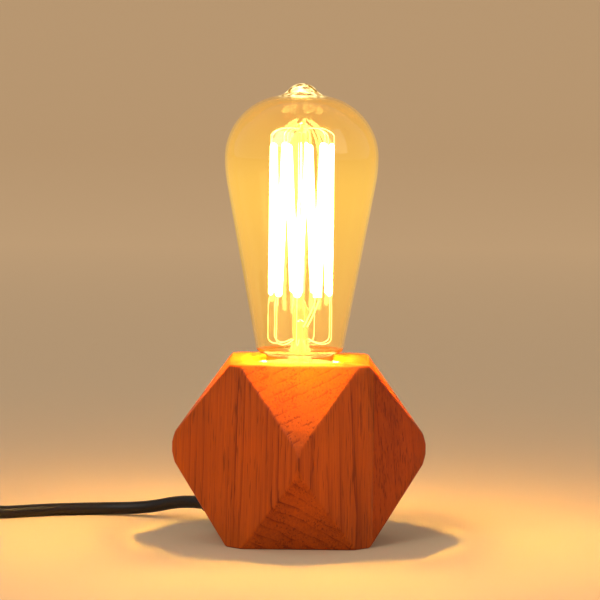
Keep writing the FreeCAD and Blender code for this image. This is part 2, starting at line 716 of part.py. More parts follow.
def bulb_cap():
    inner = CAP_R - CAP_WALL
    lip_r = INSULATOR_R + FIT
    shell = turned(
        (CAP_R, CAP_TOP),
        (CAP_R, CAP_FOOT),
        (lip_r, CAP_FOOT - CAP_FOOT_DROP),
        (lip_r, CAP_FOOT - CAP_FOOT_DROP + 0.6),
        (inner, CAP_FOOT + 0.2),
        (inner, CAP_TOP),
    )
    save("cap_shell", shell)
    insulator = turned(
        (0, INSULATOR_BOTTOM),
        (INSULATOR_TIP_R, INSULATOR_BOTTOM),
        (INSULATOR_R, INSULATOR_BOTTOM + 3.9),
        (INSULATOR_R, INSULATOR_TOP),
        (0, INSULATOR_TOP),
    )
    save("cap_insulator", insulator)
    top = INSULATOR_BOTTOM - RUNNING_GAP
    bottom = TIP_CONTACT_BOTTOM
    contact = turned(
        (0, bottom),
        ((0.55 * TIP_CONTACT_R, bottom + 0.25), (TIP_CONTACT_R, bottom + 1.2)),
        (TIP_CONTACT_R, top),
        (0, top),
    )
    save("bulb_tip_contact", contact)


def bulb_stem():
    """The glass stem: a flare sealed to the neck, a tube with its bore, and the rod with its button."""
    rim = NECK_BOTTOM - STEM_RIM
    flare_mid = 0.5 * (NECK_BOTTOM + STEM_SHOULDER)
    stem = turned(
        (NECK_R, NECK_BOTTOM),
        (NECK_R, rim),
        (STEM_FLARE_R - 1.6, rim),
        (4.6, flare_mid - 2.6),
        (STEM_BORE_R, STEM_SHOULDER),
        (STEM_BORE_R, STEM_TOP - 5),
        (0, STEM_TOP - 4),
        (0, ROD_BOTTOM),
        (ROD_R, ROD_BOTTOM),
        (STEM_R, STEM_TOP),
        (STEM_R, STEM_SHOULDER),
        (5.4, flare_mid),
        (STEM_FLARE_R, NECK_BOTTOM),
    )
    save("glass_stem", stem)
    low = BUTTON_MIDDLE - BUTTON_TALL / 2
    rod_shape = turned(
        (0, ROD_BOTTOM),
        (ROD_R, ROD_BOTTOM),
        (ROD_R, low),
        ((BUTTON_R, BUTTON_MIDDLE), (0.5 * BUTTON_R, low + BUTTON_TALL)),
        (0, low + BUTTON_TALL + 0.4),
    )
    save("glass_rod", rod_shape)


def upper_angle(k):
    return CAGE_GAP_ANGLE + (k + 0.5) * 360 / UPPER_HOOKS


def lower_angle(k):
    return CAGE_GAP_ANGLE + k * 360 / UPPER_HOOKS


def cage():
    """Support wires above and below, and the filament strung up and down between their pegs."""
    out = CAGE_R + CAGE_PEG
    peg_in = CAGE_R - CAGE_PEG
    upper = []
    for k in range(UPPER_HOOKS):
        angle = upper_angle(k)
        ring = [(BUTTON_R + HOOK_R, BUTTON_MIDDLE), (8.2, BUTTON_MIDDLE + 0.6), (out, CAGE_TOP + 4.2)]
        ring += [(out, CAGE_TOP), (peg_in, CAGE_TOP)]
        upper.append(bent_wire([polar(r, angle, z) for r, z in ring], HOOK_R, 4.0))
    save("upper_hooks", *upper)
    lower = []
    for k in range(1, UPPER_HOOKS):
        angle = lower_angle(k)
        ring = [(STEM_R + HOOK_R + 0.2, STEM_SHOULDER + 0.6), (8.0, STEM_SHOULDER - 1.8)]
        ring += [(out, STEM_SHOULDER + 0.5), (out, CAGE_BOTTOM), (peg_in, CAGE_BOTTOM)]
        lower.append(bent_wire([polar(r, angle, z) for r, z in ring], HOOK_R, 3.0))
    save("lower_hooks", *lower)
    clear = HOOK_R + FILAMENT_R + 0.1
    bend = math.degrees(BEND_HALF / CAGE_R)
    strand = [polar(CAGE_R, CAGE_GAP_ANGLE + LEAD_SPREAD, CAGE_BOTTOM - 1.5)]
    for k in range(UPPER_HOOKS):
        strand += [polar(CAGE_R, upper_angle(k) + s * bend, CAGE_TOP + clear) for s in (-1, 1)]
        if k < UPPER_HOOKS - 1:
            strand += [polar(CAGE_R, lower_angle(k + 1) + s * bend, CAGE_BOTTOM - clear) for s in (-1, 1)]
    strand.append(polar(CAGE_R, CAGE_GAP_ANGLE + 360 - LEAD_SPREAD, CAGE_BOTTOM - 1.5))
    save("filament", bent_wire(strand, FILAMENT_R, 0.45))


def lead_in_wires():
    """Two slanting leads from the stem to the filament's ends, and their tails down in the cap."""
    leads = []
    for side in (-1, 1):
        foot = polar(STEM_R + WIRE_R + 0.3, CAGE_GAP_ANGLE + side * 14, STEM_SHOULDER + 6)
        corner = polar(CAGE_R, CAGE_GAP_ANGLE + side * LEAD_SPREAD, CAGE_BOTTOM - 4.5)
        end = polar(CAGE_R, CAGE_GAP_ANGLE + side * LEAD_SPREAD, CAGE_BOTTOM - 1.6)
        leads.append(bent_wire([foot, corner, end], WIRE_R, 1.5))
    save("lead_in_wires", *leads)
    half = STEM_BORE_R / 2
    top = STEM_SHOULDER - 2
    wall = CAP_R - CAP_WALL - FIT / 2
    centre_tail = [V(-half, 0, top), V(-half, 0, INSULATOR_TOP)]
    turn_off = NECK_BOTTOM - 3
    meet = turn_off - 2
    shell_tail = [V(half, 0, top), V(half, 0, turn_off), V(wall - 3, 0, meet), V(wall, 0, meet)]
    save("cap_wires", *(bent_wire(tail, WIRE_R, 2.0) for tail in (centre_tail, shell_tail)))


# ---- The mains cord


def biarc(start, start_way, end, end_way):
    """Two arcs that leave start and reach end with the given directions."""
    span = end - start
    ways = start_way + end_way
    spread = 2 * (1 - start_way.dot(end_way))
    onward = span.dot(ways)
    reach = (math.sqrt(onward**2 + spread * span.dot(span)) - onward) / spread
    joint = (start + end + (start_way - end_way) * reach) * 0.5
    edges = []
    for a, way, b in ((start, start_way, joint), (joint, None, end)):
        corner = a + way * reach if way else b - end_way * reach
        weight = math.cos(0.5 * (math.pi - (a - corner).getAngle(b - corner)))
        middle = (a + corner * (2 * weight) + b) * (1 / (2 + 2 * weight))
        edges.append(Part.Arc(a, middle, b).toShape())
    return edges


def coil_point(turn, centre):
    """The cord's centre line a number of turns along: in on the floor, up, and out on top."""
    half = COIL_TURNS / 2
    radius = COIL_MEAN_R + COIL_STEP * (abs(turn - half) - half / 2)
    climb = min(max((turn - half) / 0.5 + 0.5, 0.0), 1.0)
    climb = climb * climb * (3 - 2 * climb)
    angle = math.radians(90) + 2 * math.pi * turn
    spot = V(radius * math.cos(angle), radius * math.sin(angle), CORD_R + COIL_STEP * climb)
    return centre + spot


def coil(start):
    """The put-away cord: one unbroken tube in two layers of a flat spiral, from its north point."""
    centre = V(start.x - 2 * CORD_R, start.y - COIL_OUTER_R, 0)
    spans = int(COIL_TURNS * 2)
    small = 1e-4
    knots = []
    for k in range(spans + 1):
        turn = k / 2
        before = coil_point(max(turn - small, 0), centre)
        after = coil_point(min(turn + small, COIL_TURNS), centre)
        knots.append([coil_point(turn, centre), unit(after - before)])
    knots[0][1] = V(-1, 0, 0)
    knots[-1][1] = V(1, 0, 0)
    edges = [Part.LineSegment(start, knots[0][0]).toShape()]
    for (a, a_way), (b, b_way) in zip(knots, knots[1:]):
        edges += biarc(a, a_way, b, b_way)
    end = knots[-1][0] + V(2 * CORD_R, 0, 0)
    edges.append(Part.LineSegment(knots[-1][0], end).toShape())
    path = Part.Wire(edges)
    tube = swept(path)
    steps = int(COIL_TURNS * 72)
    line = [coil_point(COIL_TURNS * k / steps, centre) for k in range(steps + 1)]
    apart = steps // int(COIL_TURNS * 2)
    least = min(
        (line[i] - line[j]).Length for i in range(len(line)) for j in range(i + apart, len(line))
    )
    plain = cord_section() * path.Length
    print(
        f"cord_coil: {path.Length:.0f} mm long, least gap to itself {least - 2 * CORD_R:.2f} mm,",
        f"inner bend {COIL_OUTER_R - COIL_STEP * COIL_TURNS / 2:.1f} mm,",
        f"volume {tube.Volume / plain:.4f} of section times length",
    )
    save("cord_coil", tube)
    return end


def mains_cord():
    relief_tip = CUBE / 2 + RELIEF_COLLAR + RELIEF_TAIL
    leaves = on_block(0, relief_tip, CORD_EXIT)
    onward = on_block(0, relief_tip + 14, CORD_EXIT)
    switch_end = SWITCH_LONG / 2 + SWITCH_NOZZLE
    axis = SWITCH_PART_LINE
    to_switch = [leaves, onward]
    arrives = SWITCH_X + switch_end
    to_switch += [(-66, 60.5, 3.8), (-88, 64.5, CORD_R)]
    to_switch += [(arrives + 54, SWITCH_Y + 19.5, CORD_R), (arrives + 32, SWITCH_Y + 7, CORD_R)]
    to_switch += [(arrives + 16, SWITCH_Y, axis), (arrives, SWITCH_Y, axis)]
    free_cord("cord_to_switch", to_switch)
    leaves = SWITCH_X - switch_end
    coil_start = V(COIL_START_X, SWITCH_Y, CORD_R)
    from_switch = [(leaves, SWITCH_Y, axis), (leaves - 13, SWITCH_Y, axis)]
    from_switch += [(leaves - 29, SWITCH_Y, CORD_R), coil_start]
    free_cord("cord_from_switch", from_switch)
    out = coil(coil_start)
    plug_axis = PLUG_TALL / 2
    tip = V(PLUG_TIP_X, PLUG_TIP_Y, plug_axis)
    free_cord("cord_to_plug", [out, out + V(14, 0, 0), tip - polar(PLUG_RUN_IN, PLUG_TURN, 0), tip])


# ---- The inline switch, made about its own middle and moved into the cord's line


def on_cord(shape):
    return shape.translated(V(SWITCH_X, SWITCH_Y, 0))


def rounded_box(low, high, corner, edge):
    """A box with rounded upright corners, a rounded rim on top and a bevelled one below."""
    box = slab(low, high)
    box = box.makeFillet(corner, [e for e in box.Edges if abs(e.tangentAt(0).z) > 0.9])
    box = box.makeChamfer(edge / 2, [e for e in box.Edges if e.BoundBox.ZMax < low[2] + 1e-6])
    return box.makeFillet(edge, [e for e in box.Edges if e.BoundBox.ZMin > high[2] - 1e-6])


def both_ends(shape):
    """A shape and its copy turned half round, for what is alike at both ends of the switch."""
    return [shape, shape.rotated(ORIGIN, UP, 180)]


def switch_case():
    half = SWITCH_LONG / 2
    wide = SWITCH_WIDE / 2
    wall = SWITCH_WALL
    line = SWITCH_PART_LINE
    case = rounded_box((-half, -wide, 0), (half, wide, SWITCH_TALL), SWITCH_CORNER, SWITCH_EDGE)
    nozzle = rod(SWITCH_NOZZLE_R, half - 4, half + SWITCH_NOZZLE)
    for end_nozzle in both_ends(along(nozzle, V(0, 0, line), V(1, 0, 0))):
        case = case.fuse(end_nozzle)
    room = slab((-half + wall, -wide + wall, wall), (half - wall, wide - wall, SWITCH_TALL - wall))
    room = room.makeFillet(SWITCH_CORNER - wall, [e for e in room.Edges if abs(e.tangentAt(0).z) > 0.9])
    case = case.cut(room)
    case = case.cut(along(rod(CORD_R + FIT, -SWITCH_LONG, SWITCH_LONG), V(0, 0, line), V(1, 0, 0)))
    slot_x = ROCKER_LONG / 2 + 1.3
    slot_y = ROCKER_WIDE / 2 + 0.4
    posts = both_ends(rod(CASE_POST_R, wall - 0.5, SWITCH_TALL - wall + 0.5, *CASE_SCREW_PLACE))
    for post in posts:
        case = case.fuse(post)
    past = SWITCH_LONG
    lower = case.common(slab((-past, -past, -1), (past, past, line)))
    upper = case.common(slab((-past, -past, line), (past, past, past)))
    upper = upper.cut(slab((-slot_x, -slot_y, line), (slot_x, slot_y, past)))
    ear_low = ROCKER_PIVOT - PIVOT_R - 1.6
    for side in (-1, 1):
        near, far = sorted((side * (slot_y + 0.1), side * (slot_y + 2.6)))
        upper = upper.fuse(slab((-3.6, near, ear_low), (3.6, far, SWITCH_TALL - wall + 0.5)))
    upper = upper.cut(along(rod(PIVOT_R + FIT, -9, 9), V(0, 0, ROCKER_PIVOT), V(0, 1, 0)))
    screws = []
    for place in both_ends(Part.Vertex(*CASE_SCREW_PLACE, 0)):
        x, y = place.Point.x, place.Point.y
        tip = CASE_SINK + CASE_SCREW_LENGTH
        lower = lower.cut(rod(SWITCH_SCREW_R + FIT, -1, tip, x, y))
        lower = lower.cut(rod(SMALL_HEAD_R, -1, CASE_SINK, x, y))
        upper = upper.cut(rod(SWITCH_SCREW_R + FIT, 0, tip + 0.3, x, y))
        screw = pan_screw(SWITCH_SCREW_R, SMALL_HEAD_R - FIT, CASE_SCREW_HEAD_TALL, CASE_SCREW_LENGTH)
        screws.append(on_cord(screw.translated(V(x, y, tip))))
    for end in (-1, 1):
        saddle_room = grip_saddle(end, FIT)
        for side in (-1, 1):
            near, far = sorted((side * (GRIP_HALF - 1.2), side * (GRIP_HALF + 1.6)))
            x = end * GRIP_X
            cheek = slab((x - CHEEK_HALF, near, wall - 0.5), (x + CHEEK_HALF, far, line))
            lower = lower.fuse(cheek).cut(saddle_room)
    save("switch_lower_case", on_cord(lower))
    save("switch_upper_case", on_cord(upper))
    save("switch_case_screws", *screws)


def grip_saddle(end, extra=0.0):
    """A toothed bar pressed down over the cord between two slotted cheeks, grown by a clearance."""
    line = SWITCH_PART_LINE
    x = GRIP_THICK / 2 + extra
    y = GRIP_HALF + extra
    return slab((end * GRIP_X - x, -y, line - 4 - extra), (end * GRIP_X + x, y, line + CORD_R + 1.8))


def switch_cord_grips():
    bars = []
    stubs = []
    for end in (-1, 1):
        cord_room = along(rod(CORD_R + FIT, -SWITCH_LONG, SWITCH_LONG), V(0, 0, SWITCH_PART_LINE), V(1, 0, 0))
        below = slab((-SWITCH_LONG, -CORD_R - FIT, 0), (SWITCH_LONG, CORD_R + FIT, SWITCH_PART_LINE))
        bars.append(on_cord(grip_saddle(end).cut(cord_room).cut(below)))
        stub = rod(CORD_R, SHEATH_STOP, SWITCH_LONG / 2 + SWITCH_NOZZLE)
        stubs.append(on_cord(along(stub, V(0, 0, SWITCH_PART_LINE), V(end, 0, 0))))
    save("switch_cord_grips", *bars)
    save("switch_cord_ends", *stubs)


def roller_x():
    """How far the level rocker's contact roller swings to the side at either limit."""
    return ROLLER_DROP * math.sin(math.radians(ROCKER_TILT))


def switch_rocker():
    """The rocker as it stands when on: its lamp-side end pressed in, its roller on the contacts."""
    half = ROCKER_LONG / 2
    outline = [(-half, 0.8), (-half, ROCKER_END_RISE), (0, ROCKER_MIDDLE_RISE), (half, ROCKER_END_RISE)]
    foot = 0.4 - ROLLER_DROP
    outline += [(half, 0.8), (5.2, -2.6), (2.0, foot), (-2.0, foot), (-5.2, -2.6)]
    wide = ROCKER_WIDE / 2
    body = prism([V(x, -wide, z) for x, z in outline], ROCKER_WIDE, V(0, 1, 0))
    rims = [e for e in body.Edges if e.BoundBox.ZMin > 0.9 and e.BoundBox.YMax - e.BoundBox.YMin < 0.1]
    body = body.makeFillet(0.8, [e for e in rims if e.BoundBox.XMax - e.BoundBox.XMin > 1])
    sideways = V(0, 1, 0)
    body = body.fuse(along(rod(PIVOT_R, -PIVOT_HALF, PIVOT_HALF), ORIGIN, sideways))
    seat = V(0, 0, -ROLLER_DROP)
    body = body.cut(along(rod(ROLLER_R + FIT, -PIVOT_HALF, PIVOT_HALF), seat, sideways))
    roller = along(rod(ROLLER_R, -ROLLER_HALF, ROLLER_HALF), seat, sideways)
    for name, shape in (("switch_rocker", body), ("switch_contact_roller", roller)):
        shape = shape.rotated(ORIGIN, sideways, ROCKER_TILT)
        save(name, on_cord(shape.translated(V(0, 0, ROCKER_PIVOT))))


def switch_contacts():
    """Two brass strips that the roller bridges, their terminals, and the wires through the case."""
    face = -(roller_x() + ROLLER_R + SEAT_GAP)
    low = SWITCH_WALL
    thick = 0.6
    top = ROCKER_PIVOT - ROLLER_DROP + 0.5
    strips = []
    blocks = []
    screws = []
    leads = []
    for end in (-1, 1):
        y = end * 3.0
        upright = slab((face - thick, y - 1.4, low), (face, y + 1.4, top))
        near, far = sorted((face - thick / 2, end * (TERMINAL_X + 1)))
        foot = slab((near, y - 1.4, low), (far, y + 1.4, low + thick))
        strips.append(on_cord(upright.fuse(foot)))
        x, y = end * TERMINAL_X, end * 4.7
        block_top = low + thick + SWITCH_TERMINAL_TALL
        block = slab((x - 3, y - 3, low + thick), (x + 3, y + 3, block_top))
        block = block.cut(rod(SWITCH_SCREW_R + FIT, low + thick + 1, block_top + 1, x, y))
        blocks.append(on_cord(block))
        screw = pan_screw(SWITCH_SCREW_R, 2.1, 1.6, SWITCH_SCREW_LENGTH)
        screw = screw.rotated(ORIGIN, V(1, 0, 0), 180)
        screws.append(on_cord(screw.translated(V(x, y, block_top - SWITCH_SCREW_LENGTH))))
        live = [V(end * SHEATH_STOP, end * CORE_APART, SWITCH_PART_LINE)]
        live += [V(end * (SHEATH_STOP - 1), end * CORE_APART, SWITCH_PART_LINE)]
        live += [V(x + end * 4, y, low + 4.6), V(x + end * 3, y, low + 4.6)]
        leads.append(on_cord(bent_wire(live, CORE_R)))
    save("switch_contact_strips", *strips)
    save("switch_terminals", *blocks)
    save("switch_terminal_screws", *screws)
    save("switch_live_cores", *leads)
    route = [V(SHEATH_STOP, -CORE_APART, SWITCH_PART_LINE), V(SHEATH_STOP - 2, -CORE_APART, SWITCH_PART_LINE)]
    route += [V(8, 0, low + 2.1), V(-8, 0, low + 2.1)]
    route += [V(-SHEATH_STOP + 2, CORE_APART, SWITCH_PART_LINE), V(-SHEATH_STOP, CORE_APART, SWITCH_PART_LINE)]
    save("switch_neutral_core", on_cord(bent_wire(route, CORE_R)))


# ---- The plug, made along X from where the cord enters it and moved to the cord's end


def on_cord_end(shape):
    return shape.rotated(ORIGIN, UP, PLUG_TURN).translated(V(PLUG_TIP_X, PLUG_TIP_Y, 0))


def rounded_section(x, wide, tall, corner):
    """A rounded rectangle square to X, as a wire of four lines and four arcs."""
    y = wide / 2
    z = tall / 2
    middle = PLUG_TALL / 2
    edges = []
    corners = ((1, 1), (-1, 1), (-1, -1), (1, -1))
    for k, (sy, sz) in enumerate(corners):
        side = V(x, sy * y, middle + sz * (z - corner))
        lid = V(x, sy * (y - corner), middle + sz * z)
        inset = corner * (1 - math.sqrt(0.5))
        bend = V(x, sy * (y - inset), middle + sz * (z - inset))
        first, last = (side, lid) if k % 2 == 0 else (lid, side)
        edges.append(Part.Arc(first, bend, last).toShape())
        ty, tz = corners[(k + 1) % 4]
        if k % 2 == 0:
            following = V(x, ty * (y - corner), middle + tz * z)
        else:
            following = V(x, ty * y, middle + tz * (z - corner))
        edges.append(Part.LineSegment(last, following).toShape())
    return Part.Wire(edges)


def plug():
    """A moulded two-pin plug lying flat, with a ribbed tail for the cord and sleeved round pins."""
    wires = []
    for ahead, wide, tall, corner in PLUG_SECTIONS:
        tall = tall * PLUG_TALL
        x = PLUG_TAIL + ahead * PLUG_BODY
        wires.append(rounded_section(x, wide * PLUG_WIDE, tall, corner * tall))
    body = Part.makeLoft(wires, True, False)
    axis = V(0, 0, PLUG_TALL / 2)
    ribs = []
    pitch = PLUG_TAIL / PLUG_RIBS
    for k in range(PLUG_RIBS):
        rib_r = 3.6 + 0.4 * k
        ribs += [(rib_r, k * pitch), (rib_r, (k + 0.6) * pitch), (rib_r - 0.5, (k + 0.6) * pitch)]
        ribs += [(rib_r - 0.5, (k + 1) * pitch)]
    tail = turned((0, 0), *ribs, (4.2, PLUG_TAIL + 2), (0, PLUG_TAIL + 2))
    body = body.fuse(along(tail, axis, V(1, 0, 0)))
    face = PLUG_TAIL + PLUG_BODY
    pins = []
    sleeves = []
    for side in (-1, 1):
        place = axis + V(face, side * PIN_APART / 2, 0)
        neck = PIN_R - SLEEVE_WALL - FIT / 2
        pin = turned(
            (0, -PIN_ROOT),
            (neck, -PIN_ROOT),
            (neck, SLEEVE_LONG),
            (PIN_R, SLEEVE_LONG),
            (PIN_R, PIN_LONG - PIN_BEVEL),
            (PIN_R - PIN_BEVEL, PIN_LONG),
            (0, PIN_LONG),
        )
        pins.append(on_cord_end(along(pin, place, V(1, 0, 0))))
        sleeve = rod(PIN_R, 0, SLEEVE_LONG).cut(rod(PIN_R - SLEEVE_WALL, -1, SLEEVE_LONG + 1))
        sleeves.append(on_cord_end(along(sleeve, place, V(1, 0, 0))))
        hole = rod(neck + FIT / 2, -PIN_ROOT, 1)
        body = body.cut(along(hole, place, V(1, 0, 0)))
    save("plug_body", on_cord_end(body))
    save("plug_pins", *pins)
    save("plug_pin_sleeves", *sleeves)


def main():
    os.makedirs("parts", exist_ok=True)
    block_boards()
    base_cover()
    nipple_and_nuts()
    cord_relief()
    save("live_core", bent_wire(core_route(1), CORE_R))
    save("neutral_core", bent_wire(core_route(-1), CORE_R))
    bracket()
    porcelain()
    terminals_and_contacts()
    bulb_glass()
    bulb_cap()
    bulb_stem()
    cage()
    lead_in_wires()
    mains_cord()
    switch_case()
    switch_cord_grips()
    switch_rocker()
    switch_contacts()
    plug()


main()
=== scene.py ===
# %% [markdown]
# # A bare bulb table lamp
# A clear filament bulb stands lit in a faceted block of oiled wood. The working parts, such as the
# lampholder, the switch and the plug, come ready from the frame and only get their finish here.
# What needs a finer form, such as the block's sanded edges, the blown glass, the filament, the
# rolled threads and the cord, is modelled on top of them, in metres, with +Z up and the front
# towards -Y.

# %% Load the frame
import math

import bmesh
import bpy
from mathutils import Matrix, Vector


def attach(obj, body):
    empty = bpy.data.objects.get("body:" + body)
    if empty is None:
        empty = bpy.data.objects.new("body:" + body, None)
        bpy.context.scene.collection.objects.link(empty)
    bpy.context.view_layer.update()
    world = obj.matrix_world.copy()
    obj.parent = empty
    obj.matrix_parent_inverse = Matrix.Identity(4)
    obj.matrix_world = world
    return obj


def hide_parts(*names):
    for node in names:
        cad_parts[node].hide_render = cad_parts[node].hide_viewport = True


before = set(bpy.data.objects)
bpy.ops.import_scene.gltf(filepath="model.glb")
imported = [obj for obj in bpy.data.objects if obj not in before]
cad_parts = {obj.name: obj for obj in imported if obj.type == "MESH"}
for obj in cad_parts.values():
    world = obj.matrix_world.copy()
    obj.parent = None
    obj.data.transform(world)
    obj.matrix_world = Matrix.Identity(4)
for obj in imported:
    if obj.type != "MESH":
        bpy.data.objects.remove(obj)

MM = 0.001
bpy.context.scene.view_settings.view_transform = "Standard"
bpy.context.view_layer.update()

# %% [markdown]
# ## The camera
# The lamp was photographed with a long lens from about a metre and a half, from slightly above.
# A long lens keeps upright edges nearly parallel. The camera is built from four simple moves: go to
# its place, turn to the lamp, tip down a little, and roll a little about the line of sight.

# %% Camera
PHOTO_PIXELS = 600
FOCAL_PIXELS = 3441.3
CAMERA_PLACE = Vector((3.26, -1434.95, 220.81)) * MM
CAMERA_TURN = math.radians(0.136)
CAMERA_TIP = math.radians(-4.777)
CAMERA_ROLL = math.radians(0.576)


def put(name, data):
    """Makes an object that shows this data and adds it to the scene."""
    thing = bpy.data.objects.new(name, data)
    bpy.context.collection.objects.link(thing)
    return thing


camera = put("camera", bpy.data.cameras.new("camera"))
camera.data.lens = camera.data.sensor_width * FOCAL_PIXELS / PHOTO_PIXELS
camera.matrix_world = (
    Matrix.Translation(CAMERA_PLACE)
    @ Matrix.Rotation(CAMERA_TURN, 4, "Z")
    @ Matrix.Rotation(math.radians(90) + CAMERA_TIP, 4, "X")
    @ Matrix.Rotation(CAMERA_ROLL, 4, "Z")
)
bpy.context.scene.camera = camera
print(f"lens {camera.data.lens:.1f} mm")

# %% [markdown]
# ## Shader maths as Python
# A finish is easier to read as a sum than as a web of nodes. `Value` wraps one output of a shader
# node, so `fibres * 0.4 - pores` adds the Math nodes by itself. Every other node comes from
# `Finish.add`, which takes the node's type, its settings, and what its sockets get.

# %% Values and finishes


class Value:
    """One output of a shader node, for use in Python sums."""

    def __init__(self, finish, socket):
        self.finish = finish
        self.socket = socket

    def maths(self, operation, other):
        return self.finish.add("Math", {"operation": operation}, {0: self, 1: other})

    def __add__(self, other):
        return self.maths("ADD", other)

    def __sub__(self, other):
        return self.maths("SUBTRACT", other)

    def __mul__(self, other):
        return self.maths("MULTIPLY", other)

    def __pow__(self, other):
        return self.maths("POWER", other)


class Finish:
    """One material, with its Principled shader and the nodes that feed it."""

    def __init__(self, name):
        self.material = bpy.data.materials.new(name)
        self.material.use_nodes = True
        self.nodes = self.material.node_tree.nodes
        self.links = self.material.node_tree.links
        self.shader = self.nodes["Principled BSDF"]

    def feed(self, socket, what):
        """Gives a socket a number, a colour or another node's output."""
        if isinstance(what, Value):
            self.links.new(what.socket, socket)
        elif socket.type == "RGBA":
            socket.default_value = (*what, 1)
        else:
            socket.default_value = what

    def add(self, kind, settings=None, sockets=None, out=0):
        """Adds a node, and gives one of its outputs as a Value."""
        node = self.nodes.new("ShaderNode" + kind)
        for name, setting in (settings or {}).items():
            setattr(node, name, setting)
        for name, what in (sockets or {}).items():
            self.feed(node.inputs[name], what)
        return Value(self, node.outputs[out])

    def set(self, **inputs):
        """Sets the Principled shader's sockets: Base_Color stands for Base Color."""
        for name, what in inputs.items():
            self.feed(self.shader.inputs[name.replace("_", " ")], what)
        return self

    def place(self):
        """The point being shaded, in metres from the origin of its own object."""
        return self.add("TexCoord", out="Object")

    def place_along(self, axis):
        """One coordinate of the point being shaded."""
        return self.add("SeparateXYZ", None, {0: self.place()}, axis)

    def stretch(self, where, scale):
        """A point with each of its coordinates scaled, which stretches what is read there."""
        return self.add("VectorMath", {"operation": "MULTIPLY"}, {0: where, 1: scale})

    def noise(self, where, scale, detail, roughness=0.5, out="Fac"):
        sockets = {"Vector": where, "Scale": scale, "Detail": detail, "Roughness": roughness}
        return self.add("TexNoise", None, sockets, out)

    def mix(self, share, first, second):
        """Mixes two colours; share 0 is all first."""
        return self.add("Mix", {"data_type": "RGBA"}, {0: share, 6: first, 7: second}, 2)

    def grade(self, value, low, high, new_low=0.0, new_high=1.0):
        """Rescales a value from one range to another, held within it."""
        sockets = {"Value": value, "From Min": low, "From Max": high}
        sockets |= {"To Min": new_low, "To Max": new_high}
        return self.add("MapRange", {"clamp": True}, sockets)

    def bump(self, height, depth, strength=1.0):
        """A Normal from a height in metres."""
        return self.add("Bump", None, {"Height": height, "Distance": depth, "Strength": strength})


def srgb(red, green, blue):
    """A colour written as it shows on a screen, as the linear colour that shaders use."""
    return tuple(
        c / 12.92 if c <= 0.04045 else ((c + 0.055) / 1.055) ** 2.4
        for c in (red / 255, green / 255, blue / 255)
    )


# %% [markdown]
# ## Floor and backdrop
# The table is a plain pale sheet that bends up into a pale wall, as in a product studio. Its colour
# is a little warm, because the lamp is lit. The wall stands far off, so that a camera behind the
# lamp is still in front of it. Little light gets that far, so what is seen there, also through
# glass or mirrored in metal, has a faint warm glow of its own, which lights nothing else.

# %% Stage
FLOOR_HALF = 9.0
WALL_PLACE = 7.0
WALL_BEND = 3.0
STAGE_COLOUR = srgb(214, 186, 150)
FAR_GLOW = (0.20, 0.12, 0.055)
FAR_GLOW_FROM, FAR_GLOW_FULL = 0.2, 1.8


def mesh_of(name, shape):
    data = bpy.data.meshes.new(name)
    shape.to_mesh(data)
    print(f"{name}: {len(data.polygons)} faces")
    return data


stage_finish = Finish("pale_stage").set(Base_Color=STAGE_COLOUR, Roughness=0.75)
far_off = stage_finish.grade(stage_finish.place_along("Y"), FAR_GLOW_FROM, FAR_GLOW_FULL)
seen = (
    stage_finish.add("LightPath", out="Is Camera Ray")
    + stage_finish.add("LightPath", out="Is Glossy Ray")
    + stage_finish.add("LightPath", out="Is Transmission Ray")
)
stage_finish.set(
    Emission_Color=stage_finish.mix(far_off * seen, (0.0, 0.0, 0.0), FAR_GLOW),
    Emission_Strength=1.0,
)
sheet = bmesh.new()
bmesh.ops.create_grid(sheet, x_segments=1, y_segments=1, size=FLOOR_HALF)
far_edge = [e for e in sheet.edges if all(v.co.y > 0 for v in e.verts)]
bmesh.ops.translate(sheet, verts=far_edge[0].verts, vec=(0, WALL_PLACE - FLOOR_HALF, 0))
wall = bmesh.ops.extrude_edge_only(sheet, edges=far_edge)
wall_top = [v for v in wall["geom"] if isinstance(v, bmesh.types.BMVert)]
bmesh.ops.translate(sheet, verts=wall_top, vec=(0, 0, FLOOR_HALF))
bmesh.ops.bevel(
    sheet, geom=far_edge, offset=WALL_BEND, segments=48, profile=0.5, affect="EDGES", material=-1
)
stage = put("stage", mesh_of("stage", sheet))
stage.data.materials.append(stage_finish.material)
stage.data.shade_smooth()

# %% [markdown]
# ## Light
# A pale world and two large soft panels give an even studio light. Inside the bulb hang three warm
# lamps, one above another, which together stand for the long filament and make the glow on the
# table. A fourth one, a spotlight, shines down on the block's top, which the bulb lights most. So
# the filament itself only has to look bright.

# %% Lights
WORLD_COLOUR, WORLD_STRENGTH = (1.0, 0.96, 0.91), 0.42
PANEL_COLOUR = (1.0, 0.95, 0.88)
PANELS_FACE = Vector((0, 0, 0.08))
GLOW_COLOUR, GLOW_POWER = (1.0, 0.52, 0.09), 1.7
GLOW_HEIGHTS = (0.112, 0.134, 0.156)
DOWN_GLOW_COLOUR, DOWN_GLOW_POWER = (1.0, 0.66, 0.11), 17.0
DOWN_GLOW_HEIGHT = 0.150
DOWN_GLOW_CONE = math.radians(54)

world = bpy.data.worlds.new("studio")
bpy.context.scene.world = world
world.use_nodes = True
world.node_tree.nodes["Background"].inputs["Color"].default_value = (*WORLD_COLOUR, 1)
world.node_tree.nodes["Background"].inputs["Strength"].default_value = WORLD_STRENGTH


def panel(name, place, size, power):
    """A soft square panel of light that faces the lamp."""
    light = bpy.data.lights.new(name, "AREA")
    light.size = size
    light.energy = power
    light.color = PANEL_COLOUR
    lamp = put(name, light)
    lamp.location = place
    lamp.rotation_euler = (PANELS_FACE - Vector(place)).to_track_quat("-Z", "Y").to_euler()


